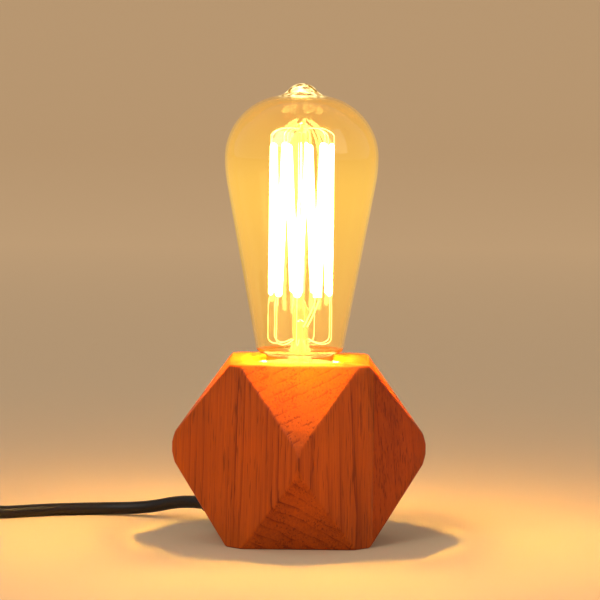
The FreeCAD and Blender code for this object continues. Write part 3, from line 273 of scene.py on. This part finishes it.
def glow_lamp(kind, colour, height, power, soft):
    """A warm lamp inside the bulb that lights other things but isn't seen itself."""
    light = bpy.data.lights.new("bulb_glow", kind)
    light.energy = power
    light.color = colour
    light.shadow_soft_size = soft
    lamp = put("bulb_glow", light)
    lamp.location = (0, 0, height)
    lamp.visible_camera = False
    lamp.visible_glossy = False
    lamp.visible_transmission = False
    return light


panel("key_panel", (-1.1, -1.5, 1.5), size=1.2, power=19)
panel("fill_panel", (1.4, -1.0, 1.1), size=1.4, power=5.5)
for height in GLOW_HEIGHTS:
    glow_lamp("POINT", GLOW_COLOUR, height, GLOW_POWER, soft=12 * MM)
down_glow = glow_lamp("SPOT", DOWN_GLOW_COLOUR, DOWN_GLOW_HEIGHT, DOWN_GLOW_POWER, soft=10 * MM)
down_glow.spot_size = DOWN_GLOW_CONE
down_glow.spot_blend = 0.55
print("lamps:", len(bpy.data.lights))

# %% [markdown]
# ## Helpers for new pieces
# Most new pieces are either turned on the lamp's axis or follow a line. For a turned piece, half of
# its outline is drawn as a chain of points and `spin` carries it round. For a wire or a cord, a
# curve with a round bevel is enough.

# %% Turned pieces and round wires
TURNED_STEPS = 96


def metres(points):
    return [Vector(p) * MM for p in points]


def polar(radius, degrees, height):
    angle = math.radians(degrees)
    return (radius * math.cos(angle), radius * math.sin(angle), height)


def eased(share):
    """A share held between 0 and 1, that starts and ends gently."""
    share = min(max(share, 0), 1)
    return share * share * (3 - 2 * share)


def new_piece(name, data, body, finish, slot, *replaced):
    """Makes an object, gives it its finish, and lets it stand for CAD nodes."""
    piece = put(name, data)
    data.materials.append(finish.material)
    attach(piece, body)
    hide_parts(*replaced)
    return piece


def turned(name, outline):
    """A smooth mesh turned about Z from an (r, z) outline in millimetres that ends on the axis."""
    shape = bmesh.new()
    points = [shape.verts.new(p) for p in metres((r, 0, z) for r, z in outline)]
    chain = [shape.edges.new(pair) for pair in zip(points, points[1:])]
    bmesh.ops.spin(
        shape, geom=points + chain, cent=(0, 0, 0), axis=(0, 0, 1), angle=math.tau,
        steps=TURNED_STEPS, use_merge=True,
    )
    bmesh.ops.remove_doubles(shape, verts=shape.verts, dist=0.002 * MM)
    bmesh.ops.recalc_face_normals(shape, faces=shape.faces)
    data = mesh_of(name, shape)
    data.shade_smooth()
    return data


def round_curve(name, lines, radius, sides, steps=4):
    """One NURBS curve with a round wire along each line of control points, in metres."""
    curve = bpy.data.curves.new(name, "CURVE")
    curve.dimensions = "3D"
    for line in lines:
        spline = curve.splines.new("NURBS")
        spline.points.add(len(line) - 1)
        for control, point in zip(spline.points, line):
            control.co = (*point, 1)
        spline.order_u = 3
        spline.use_endpoint_u = True
        spline.resolution_u = steps
    curve.bevel_depth = radius
    curve.bevel_resolution = sides
    curve.use_fill_caps = True
    print(f"{name}: {sum(s.calc_length() for s in curve.splines):.3f} m")
    return curve


# %% [markdown]
# ## Blown glass
# The bulb is a thin double wall, so that it bends the light twice and shows bright rims, as real
# glass does. Its outline is a chain of arcs that touch: the sealed tip, the hollow round it, the
# dome, the long side, the curl at the foot, and a short collar that goes down into the cap.
# The inner outline is the same chain, one wall further in, with a small bubble up in the tip.

# %% Glass outline
GLASS_WALL = 0.9
TIP, TIP_R = (0, 183.8), 7.6
BUBBLE_R = 4.6
HOLLOW, HOLLOW_R = (11.79, 194.0), 8.0
DOME, DOME_R = (6.05, 160.5), 26.0
SIDE, SIDE_R = (-27.95, 160.5), 60.0
CURL, CURL_R = (15.8, 81.6), 2.6
COLLAR, COLLAR_R = (15.8, 77.4), 1.6
TIP_END, HOLLOW_END, SIDE_END = 40.86, 80.28, -10.5
NECK = ((14.2, 75.4), (13.2, 72.9), (11.7, 72.9), (11.7, 66.0))


def arc(centre, radius, start, end):
    """Points on an arc, one every three degrees or so."""
    count = max(4, round(abs(end - start) / 3))
    turns = [math.radians(start + (end - start) * k / count) for k in range(count + 1)]
    return [(centre[0] + radius * math.cos(t), centre[1] + radius * math.sin(t)) for t in turns]


def glass_outline(inset=0.0):
    """The bulb's outline from its tip to its neck, or the space inside it, one wall further in."""
    if inset:
        line = arc(TIP, BUBBLE_R, 90, 20) + arc(DOME, DOME_R - inset, 84, 0)
    else:
        line = arc(TIP, TIP_R, 90, TIP_END)
        line += arc(HOLLOW, HOLLOW_R, 180 + TIP_END, 180 + HOLLOW_END)[1:]
        line += arc(DOME, DOME_R, HOLLOW_END, 0)[1:]
    line += arc(SIDE, SIDE_R - inset, 0, SIDE_END)[1:]
    line += arc(CURL, CURL_R - inset, SIDE_END, -90)
    line += arc(COLLAR, COLLAR_R + inset, 90, 180)[1:]
    return line + [(r - inset, z) for r, z in NECK]


envelope = turned("envelope", glass_outline() + glass_outline(GLASS_WALL)[::-1])

# %% [markdown]
# Clear glass is a Principled shader with full transmission. A lamp inside it would be blocked,
# because glass casts a full shadow in a path tracer. So shadow rays, and only they, meet a plain
# transparent shader, and the bulb's light reaches the wood. The glass also gets painted light from
# a weak emission. A painted faint golden glow is strongest beside the filament and is set by
# height.
# Painted bright small reflections of the filament sit in its thick tip, as patches of noise.

# %% Glass finish
FOOT_HEIGHT, CAGE_HEIGHTS, PAINTED_GLOW_END = 0.075, (0.14, 0.15), 0.19
TIP_HEIGHTS = (0.1857, 0.1868)


def glass_finish(name, colour, roughness):
    finish = Finish(name)
    finish.set(Base_Color=colour, Roughness=roughness, IOR=1.45, Transmission_Weight=1.0)
    shader = Value(finish, finish.shader.outputs[0])
    shadow = finish.add("LightPath", out="Is Shadow Ray")
    clear = finish.add("BsdfTransparent")
    surface = finish.add("MixShader", None, {0: shadow, 1: shader, 2: clear})
    finish.feed(finish.nodes["Material Output"].inputs["Surface"], surface)
    return finish


bulb_glass = glass_finish("lit_bulb_glass", (1.0, 0.90, 0.62), 0.0)
height = bulb_glass.place_along("Z")
# Painted glow: the glass emits a faint warm light of its own by height, strongest beside the
# filament.
above_foot = bulb_glass.grade(height, FOOT_HEIGHT, CAGE_HEIGHTS[0])
below_tip = bulb_glass.grade(height, PAINTED_GLOW_END, CAGE_HEIGHTS[1])
painted_glow = bulb_glass.mix(above_foot * below_tip, (0.055, 0.021, 0.001), (0.13, 0.08, 0.006))
# Painted reflections: patches of noise in the thick tip emit as bright small images of the
# filament.
painted_reflection_patches = bulb_glass.grade(bulb_glass.noise(bulb_glass.place(), 420, 1), 0.50, 0.56)
painted_filament_reflections = painted_reflection_patches * bulb_glass.grade(height, *TIP_HEIGHTS)
bulb_glass.set(
    Emission_Color=bulb_glass.mix(painted_filament_reflections, painted_glow, (1.0, 0.85, 0.40)), Emission_Strength=1.0
)
# Painted glow: the stem's glass emits a warm light of its own, as if lit through by the filament.
stem_glass_painted_glow = glass_finish("stem_glass_painted_glow", (1.0, 0.90, 0.66), 0.02)
stem_glass_painted_glow.set(Emission_Color=(1.0, 0.66, 0.18), Emission_Strength=0.35)
new_piece("bulb_envelope", envelope, "bulb", bulb_glass, "clear_glass", "bulb_glass")

# %% [markdown]
# ## Filament and support wires
# The filament hangs like a cage: nine support wires carry its upper bends and eight its lower
# ones, and the two ends go to the lead-in wires. Each wire is one NURBS spline. The filament is
# drawn thicker than a cold one, because a glowing wire looks thicker than it is.

# %% Filament
LOOPS = 9
GAP_ANGLE = -56.0
CAGE_R = 12.5
CAGE_TOP = 165.0
CAGE_BOTTOM = 104.5
PEG_CLEAR = 0.6
BEND_ANGLE = 2.9
END_ANGLE = 4
END_DROP = 1.5
FILAMENT_R = 1.1


def upper_angle(k):
    return GAP_ANGLE + (k + 0.5) * 360 / LOOPS


def lower_angle(k):
    return GAP_ANGLE + k * 360 / LOOPS


def filament_line():
    """Control points up and down the cage, two beyond each bend to keep the strands straight."""
    top, low = CAGE_TOP + PEG_CLEAR, CAGE_BOTTOM - PEG_CLEAR
    ends = [(GAP_ANGLE + END_ANGLE, CAGE_BOTTOM - END_DROP)]
    for k in range(LOOPS):
        ends += [(upper_angle(k) + side * BEND_ANGLE, top) for side in (-1, 1)]
        if k < LOOPS - 1:
            ends += [(lower_angle(k + 1) + side * BEND_ANGLE, low) for side in (-1, 1)]
    ends.append((GAP_ANGLE + 360 - END_ANGLE, CAGE_BOTTOM - END_DROP))
    line = []
    for (a, start), (b, end) in zip(ends[::2], ends[1::2]):
        for share in (0, 0.02, 0.5, 0.98, 1):
            line.append(polar(CAGE_R, a + (b - a) * share, start + (end - start) * share))
    return line


glowing = Finish("glowing_filament").set(
    Base_Color=(0.2, 0.18, 0.16), Emission_Color=(1.0, 0.68, 0.26), Emission_Strength=50.0
)
filament = new_piece(
    "glowing_filament",
    round_curve("filament_line", [metres(filament_line())], FILAMENT_R * MM, 2),
    "bulb", glowing, "tungsten", "filament",
)
filament.visible_diffuse = False

# %% Support and lead-in wires
SUPPORT_R = 0.25
LEAD_R = 0.4
LEAD_FOOT = (4.0, 14, 90)

# Painted glow: the support and lead-in wires emit a warm light of their own, though they are no
# lamp.
painted_glow_wire_finish = Finish("support_wire").set(
    Base_Color=srgb(150, 140, 128), Metallic=1.0, Roughness=0.3,
    Emission_Color=(1.0, 0.66, 0.20), Emission_Strength=2.6,
)
upper_shape = [(3.15, 172.8), (8.2, 173.4), (13.5, 170.6), (13.5, 168.0), (13.5, 165), (11.5, 165)]
lower_shape = [(3.75, 84.6), (8.0, 82.2), (13.5, 83.4), (13.5, 88.0), (13.5, 104.5), (11.5, 104.5)]
upper_lines = [[polar(r, upper_angle(k), z) for r, z in upper_shape] for k in range(LOOPS)]
lower_lines = [[polar(r, lower_angle(k), z) for r, z in lower_shape] for k in range(1, LOOPS)]
lead_lines = []
for side in (-1, 1):
    radius, angle, foot_height = LEAD_FOOT
    end_angle = GAP_ANGLE + side * END_ANGLE
    foot = polar(radius, GAP_ANGLE + side * angle, foot_height)
    lead_lines.append([foot, polar(CAGE_R, end_angle, 100), polar(CAGE_R, end_angle, 102.9)])
for name, lines, radius, slot, replaced in (
    ("upper_support_wires", upper_lines, SUPPORT_R, "tungsten", "upper_hooks"),
    ("lower_support_wires", lower_lines, SUPPORT_R, "tungsten", "lower_hooks"),
    ("lead_in_wire_pair", lead_lines, LEAD_R, "nickel", "lead_in_wires"),
):
    curve = round_curve(name, [metres(line) for line in lines], radius * MM, 1)
    new_piece(name, curve, "bulb", painted_glow_wire_finish, slot, replaced)

# %% [markdown]
# ## Oiled wood
# A tree grows in rings round its heart, so the grain is one solid pattern in space, and each cut
# face shows its own slice of it. The trunk ran upwards here. Rings come from a Wave texture about
# a heart that lies outside the board: each one fades into a thin dark line, the late wood, and a
# slow noise makes some of these lines strong and others faint. Stretched noises add the fibres,
# which are fine streaks along the trunk, and the pores, the short dark cuts through its vessels.
# The darker rear board was cut nearer its heart, and leans, so its rings show as arches.

# %% Wood finish
RING_SCALE = 96
RING_SWAY = 0.005


def wood_finish(name, heart, lean, light, dark, pore, figure):
    """Wood whose rings go round a leaning line through a point, given in metres.

    Figure is how much of the grain the rings make; the rest is fibres.
    """
    finish = Finish(name)
    where = finish.add(
        "Mapping", {"vector_type": "TEXTURE"},
        {"Vector": finish.place(), "Location": heart, "Rotation": (lean, lean / 2, 0)},
    )

    def grain(scale, along, detail, roughness=0.5, out="Fac"):
        """Noise that is drawn out along the trunk; the smaller along is, the longer."""
        return finish.noise(finish.stretch(where, (1, 1, along)), scale, detail, roughness, out)

    sway = grain(60, 0.15, 2, out="Color")
    bent = finish.add(
        "VectorMath", {"operation": "MULTIPLY_ADD"}, {0: sway, 1: (RING_SWAY,) * 3, 2: where}
    )
    rings = finish.add(
        "TexWave", {"wave_type": "RINGS", "rings_direction": "Z", "wave_profile": "SAW"},
        {"Vector": bent, "Scale": RING_SCALE, "Distortion": 0.0}, "Fac",
    )
    late = rings ** 5 * finish.grade(grain(240, 0.05, 2), 0.35, 0.65, 0.05, 1.6)
    fibres = grain(1100, 0.02, 3, 0.6)
    broad = grain(70, 0.12, 2)
    pores = finish.grade(grain(1500, 0.06, 1) * 0.7 + grain(120, 0.3, 1) * 0.3, 0.57, 0.63)
    tone = finish.grade(fibres * 0.8 + broad * 0.6 - late * figure, 0.3, 1.0)
    return finish.set(
        Base_Color=finish.mix(pores * 0.5, finish.mix(tone, dark, light), pore),
        Roughness=finish.grade(fibres, 0.3, 0.7, 0.46, 0.62),
        Normal=finish.bump(fibres * 0.4 - pores, 0.1 * MM, 0.3),
        Specular_IOR_Level=0.2,
    )


front_wood = wood_finish(
    "golden_wood", heart=(-0.085, 0.21, 0.0), lean=0.02,
    light=srgb(200, 88, 8), dark=srgb(138, 50, 2), pore=srgb(84, 26, 1), figure=0.35,
)
rear_wood = wood_finish(
    "brown_wood", heart=(0.075, 0.09, 0.0), lean=0.16,
    light=srgb(176, 70, 7), dark=srgb(128, 44, 2), pore=srgb(80, 26, 1), figure=0.22,
)
print("wood finishes:", front_wood.material.name, rear_wood.material.name)

# %% [markdown]
# ## The sanded block
# The two boards come from the frame with all their bores, but with hard arrises. On the real
# block the sander has rounded every arris a little, and the corners at the sides most of all. So
# the block's outer form is made once more, with a bevel on its corners and then on its edges, and
# each board becomes what it shares with that form. The form lies a hair inside the boards' faces,
# because two faces in one plane don't cut cleanly.

# %% Outer form of the block
CUBE = 76.0
TOP_CUT, TOP_CUT_DROP = 35.25, 33.05
FOOT_CUT, FOOT_CUT_RISE = 33.75, 34.5
HAIR = 0.02
CORNER_SANDING = 3.3
ARRIS_SANDING = 0.8


def cut_corner(form, u, v, cut, drop, level, way):
    """Cuts one corner of the cube off with a plane and closes the cut."""
    half = CUBE / 2
    normal = Vector((u / cut, v / cut, way / drop)).normalized()
    trimmed = bmesh.ops.bisect_plane(
        form, geom=form.verts[:] + form.edges[:] + form.faces[:],
        plane_co=Vector((u * (half - cut), v * half, level)) - normal * HAIR,
        plane_no=normal, clear_outer=True,
    )
    rim = [e for e in trimmed["geom_cut"] if isinstance(e, bmesh.types.BMEdge)]
    bmesh.ops.edgeloop_fill(form, edges=rim)


def block_form():
    form = bmesh.new()
    half = CUBE / 2
    bmesh.ops.create_cube(form, size=CUBE - 2 * HAIR)
    bmesh.ops.translate(form, verts=form.verts, vec=(0, 0, half))
    for u, v in ((-1, -1), (-1, 1), (1, -1), (1, 1)):
        cut_corner(form, u, v, TOP_CUT, TOP_CUT_DROP, CUBE, 1)
        cut_corner(form, u, v, FOOT_CUT, FOOT_CUT_RISE, 0, -1)
    corners = [p for p in form.verts if min(abs(p.co.x), abs(p.co.y)) > half - 1]
    bmesh.ops.bevel(
        form, geom=corners, offset=CORNER_SANDING, segments=1, profile=0.5,
        affect="VERTICES", material=-1,
    )
    bmesh.ops.bevel(
        form, geom=form.edges[:], offset=ARRIS_SANDING, segments=3, profile=0.5,
        affect="EDGES", material=-1, clamp_overlap=True,
    )
    bmesh.ops.rotate(form, verts=form.verts, matrix=Matrix.Rotation(math.radians(45), 3, "Z"))
    bmesh.ops.scale(form, vec=(MM, MM, MM), verts=form.verts)
    bmesh.ops.recalc_face_normals(form, faces=form.faces)
    return put("block_form", mesh_of("block_form", form))


# %% Sanded boards
BORE_REACH = 26.5 * MM
WELD = 0.0005 * MM


def sanded_board(node, name, finish, slot, form):
    """What a board from the frame shares with the block's sanded form."""
    merged = bmesh.new()
    merged.from_mesh(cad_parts[node].data)
    bmesh.ops.remove_doubles(merged, verts=merged.verts, dist=WELD)
    board = put(name, mesh_of("rough_" + name, merged))
    common = board.modifiers.new("common", "BOOLEAN")
    common.operation = "INTERSECT"
    common.solver = "EXACT"
    common.object = form
    depsgraph = bpy.context.evaluated_depsgraph_get()
    shaped = bpy.data.meshes.new_from_object(board.evaluated_get(depsgraph))
    bpy.data.objects.remove(board)
    shaped.materials.clear()
    for face in shaped.polygons:
        middle = face.center
        face.use_smooth = math.hypot(middle.x, middle.y) < BORE_REACH and abs(face.normal.z) < 0.5
    shaped.set_sharp_from_angle(angle=math.radians(40))
    print(f"{name}: {len(shaped.polygons)} faces")
    return new_piece(name, shaped, "base", finish, slot, node)


form = block_form()
sanded_board("front_board", "sanded_front_board", front_wood, "oiled_wood", form)
sanded_board("rear_board", "sanded_rear_board", rear_wood, "darker_wood", form)
bpy.data.objects.remove(form)

# %% [markdown]
# ## The mains cord
# The cord is one smooth line through a few chosen points: it leaves the block at the rear left,
# sinks to the table, swings out of sight and rises into the switch. The rest is put away as a neat
# flat coil, in on the table and out again on top, so those points come from a loop. A NURBS spline
# of order 3 bends evenly, as a real cord does, and a round bevel gives it its thickness.

# %% Cord line
CORD_R = 2.75 * MM
COIL_TURNS = 6.5
COIL_MEAN_R = 34 * MM
COIL_STEP = 6 * MM
POINTS_A_TURN = 24

to_switch = [(-39.6, 39.6, 9), (-49.5, 49.5, 9), (-66, 60.5, 3.8), (-88, 64.5, 2.75)]
to_switch += [(-112, 58.5, 2.75), (-134, 46, 2.75), (-150, 39, 9), (-166, 39, 9)]
from_switch = [(-226, 39, 9), (-239, 39, 9), (-255, 39, 2.75), (-268, 39, 2.75)]
to_plug = [(-268, -48.5, 8.75), (-254, -48.5, 8.75)]
to_plug += [(-225.82, -28.49, 6.85), (-208, -31, 6.85)]


def coil_points(start):
    """Points of the coil: CCW from its north side, in on the table, up, and out on top."""
    outer = COIL_MEAN_R + COIL_STEP * COIL_TURNS / 4
    middle = Vector((start.x - 2 * CORD_R, start.y - outer, 0))
    half = COIL_TURNS / 2
    points = []
    for k in range(int(COIL_TURNS * POINTS_A_TURN) + 1):
        turn = k / POINTS_A_TURN
        radius = COIL_MEAN_R + COIL_STEP * (abs(turn - half) - half / 2)
        height = CORD_R + COIL_STEP * eased((turn - half) / 0.5 + 0.5)
        angle = math.pi / 2 + math.tau * turn
        points.append(middle + Vector((radius * math.cos(angle), radius * math.sin(angle), height)))
    return points


first_line = metres(to_switch)
second_line = metres(from_switch)
second_line += coil_points(second_line[-1]) + metres(to_plug)

# %% [markdown]
# A black plastic sheath is never quite plain: handling leaves it silky in places and dull in
# others. Fine noise in its roughness and a trace of bump are enough at this size. Each cord is a
# round curve of the cord's thickness along its own line.

# %% Cord finish and cords
cord_finish = Finish("black_sheath")
handled = cord_finish.noise(cord_finish.place(), 260, 4)
cord_finish.set(
    Base_Color=cord_finish.mix(handled, srgb(9, 7, 7), srgb(20, 16, 15)),
    Roughness=cord_finish.grade(handled, 0.3, 0.7, 0.36, 0.52),
    Specular_IOR_Level=0.3,
    Normal=cord_finish.bump(cord_finish.noise(cord_finish.place(), 1400, 2), 0.03 * MM, 0.5),
)


def cord_along(name, line, *replaced):
    """A round black cord along a line, in place of its solids."""
    curve = round_curve(name, [line], CORD_R, 5, 8)
    return new_piece(name, curve, "base", cord_finish, "black_cord", *replaced)


first_cord = cord_along("lamp_cord", first_line, "cord_to_switch")
second_cord = cord_along(
    "plug_cord", second_line, "cord_from_switch", "cord_coil", "cord_to_plug"
)

# %% [markdown]
# ## Metals, glaze and plastics
# The rest of the lamp is made of plain stuff: glazed porcelain, brass, zinc-plated steel, nickel,
# rubber and plastic. Nothing real is quite even, so each gets a little cloud of lighter and
# darker places, which also changes its gloss. Every node came with the name of its finish, so a
# dictionary hands them out.

# %% Plain finishes


def plain(name, colour, roughness, metallic=0.0, cloudy=0.08, scale=700):
    """An even finish with slight clouds in its colour and gloss."""
    finish = Finish(name)
    cloud = finish.noise(finish.place(), scale, 3)
    dark = tuple(c * (1 - cloudy) for c in colour)
    light = tuple(min(c * (1 + cloudy), 1.0) for c in colour)
    return finish.set(
        Base_Color=finish.mix(cloud, dark, light),
        Metallic=metallic,
        Roughness=finish.grade(cloud, 0.3, 0.7, roughness * 0.85, roughness * 1.2),
        Normal=finish.bump(cloud, 0.02 * MM, 0.4),
    )


finishes = {
    "oiled_wood": front_wood,
    "darker_wood": rear_wood,
    "clear_glass": stem_glass_painted_glow,
    "tungsten": glowing,
    "black_cord": cord_finish,
    "porcelain": plain("white_glaze", (0.79, 0.76, 0.70), 0.14, cloudy=0.03, scale=200),
    "black_glass": plain("black_insulator", (0.012, 0.011, 0.011), 0.08),
    "brass": plain("yellow_brass", (0.80, 0.56, 0.22), 0.28, 1.0),
    "zinc_steel": plain("zinc_plate", (0.60, 0.61, 0.62), 0.36, 1.0),
    "nickel": plain("nickel_plate", (0.68, 0.65, 0.60), 0.22, 1.0, 0.05),
    "solder": plain("dull_solder", (0.52, 0.52, 0.53), 0.40, 1.0),
    "steel_screw": plain("bright_steel", (0.55, 0.54, 0.53), 0.30, 1.0),
    "black_rubber": plain("moulded_rubber", (0.020, 0.019, 0.018), 0.58),
    "black_plastic": plain("black_moulding", (0.016, 0.016, 0.017), 0.34),
    "brown_core": plain("brown_insulation", (0.20, 0.075, 0.03), 0.42),
    "blue_core": plain("blue_insulation", (0.03, 0.11, 0.42), 0.42),
    "white_nylon": plain("white_nylon", (0.72, 0.71, 0.67), 0.45),
}
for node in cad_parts.values():
    for used in node.material_slots:
        used.material = finishes[used.material.name.split(".")[0]].material
print("finishes:", len(finishes))

# %% [markdown]
# ## Rolled threads
# The bulb's cap and the lampholder's shell are thin sheet with the same round thread rolled into
# both. One wave of the thread is drawn as a chain of points and `spin` carries it round while it
# climbs one pitch a turn, so each turn's top meets the next turn's foot and merges with it. Two
# cuts trim the ends, and near them the wave fades into a plain tube. Both threads have the same
# pitch, which is also what the bulb rises in one turn. They aren't in step, though: deep in the
# bore, where nobody sees it, the cap's crests cut up to 0.45 mm into the shell. On the real lamp
# there is play between the two.

# %% Threaded tubes
THREAD_PITCH = 3.629
THREAD_STEPS = 48
THREAD_POINTS = 16
SEAM = 0.01


def threaded(low, high, root, crest, calm):
    """A threaded tube between two heights, faded to a plain radius at both of its ends."""
    tube = bmesh.new()
    start = low - 2 * THREAD_PITCH
    turns = math.ceil((high - start) / THREAD_PITCH) + 1
    chain = []
    for k in range(THREAD_POINTS + 1):
        share = k / THREAD_POINTS
        radius = (root + crest) / 2 - (crest - root) / 2 * math.cos(math.tau * share)
        chain.append(tube.verts.new((radius, 0, start + share * THREAD_PITCH)))
    edges = [tube.edges.new(pair) for pair in zip(chain, chain[1:])]
    bmesh.ops.spin(
        tube, geom=chain + edges, cent=(0, 0, 0), axis=(0, 0, 1), angle=math.tau * turns,
        steps=THREAD_STEPS * turns, dvec=(0, 0, THREAD_PITCH / THREAD_STEPS),
    )
    bmesh.ops.remove_doubles(tube, verts=tube.verts, dist=SEAM)
    for height, way in ((low, -1), (high, 1)):
        bmesh.ops.bisect_plane(
            tube, geom=tube.verts[:] + tube.edges[:] + tube.faces[:],
            plane_co=(0, 0, height), plane_no=(0, 0, way), clear_outer=True,
        )
    for v in tube.verts:
        near_end = min(v.co.z - low, high - v.co.z)
        radius = math.hypot(v.co.x, v.co.y)
        grown = (calm + (radius - calm) * eased(near_end / (0.5 * THREAD_PITCH))) / radius
        v.co.x *= grown
        v.co.y *= grown
    return tube


def drawn_on(tube, height, *rings):
    """Draws the tube's rim at a height on through (radius, height) rings."""
    rim = [e for e in tube.edges if e.is_boundary and abs(e.verts[0].co.z - height) < SEAM]
    for radius, next_height in rings:
        made = bmesh.ops.extrude_edge_only(tube, edges=rim)["geom"]
        for v in (g for g in made if isinstance(g, bmesh.types.BMVert)):
            v.co *= radius / math.hypot(v.co.x, v.co.y)
            v.co.z = next_height
        rim = [g for g in made if isinstance(g, bmesh.types.BMEdge)]


def sheet_metal(name, tube):
    """Turns a drawn tube into a smooth mesh in metres, with its faces outwards."""
    bmesh.ops.recalc_face_normals(tube, faces=tube.faces)
    if sum(f.normal.dot(f.calc_center_median() * Vector((1, 1, 0))) for f in tube.faces) < 0:
        bmesh.ops.reverse_faces(tube, faces=tube.faces)
    bmesh.ops.scale(tube, vec=(MM, MM, MM), verts=tube.verts)
    data = mesh_of(name, tube)
    data.shade_smooth()
    return data


def add_wall(piece, wall, outwards):
    """Gives a sheet its thickness, on the outside of its faces or on the inside."""
    solid = piece.modifiers.new("wall", "SOLIDIFY")
    solid.thickness = wall * MM
    solid.offset = 1 if outwards else -1


# %% [markdown]
# The cap narrows at its foot to hold the black insulator, and widens at its top round the glass's
# neck. The shell turns in at its foot, where it is riveted to the porcelain. Each ring is a radius
# and a height in millimetres, in order from the thread on.

# %% Cap and shell
CAP_FOOT, CAP_TOP, CAP_WALL = 55.2, 70.9, 0.35
SHELL_FOOT, SHELL_TOP, SHELL_WALL = 49.0, 71.0, 0.5
nickel = finishes["nickel"]

cap_tube = threaded(CAP_FOOT, CAP_TOP, root=12.2, crest=13.2, calm=12.9)
drawn_on(cap_tube, CAP_FOOT, (12.9, 53.9), (12.5, 53.2), (11.35, 51.7))
drawn_on(cap_tube, CAP_TOP, (12.9, 72.4), (13.15, 72.7))
cap_mesh = sheet_metal("cap_thread", cap_tube)
cap = new_piece("rolled_cap", cap_mesh, "bulb", nickel, "nickel", "cap_shell")
add_wall(cap, CAP_WALL, outwards=False)

shell_tube = threaded(SHELL_FOOT, SHELL_TOP, root=12.55, crest=13.5, calm=13.5)
drawn_on(shell_tube, SHELL_FOOT, (13.5, 47.0), (13.2, 46.6), (9.8, 46.55))
drawn_on(shell_tube, SHELL_TOP, (13.5, 72.6))
shell_mesh = sheet_metal("shell_thread", shell_tube)
shell = new_piece("rolled_shell", shell_mesh, "base", nickel, "nickel", "screw_shell")
add_wall(shell, SHELL_WALL, outwards=True)
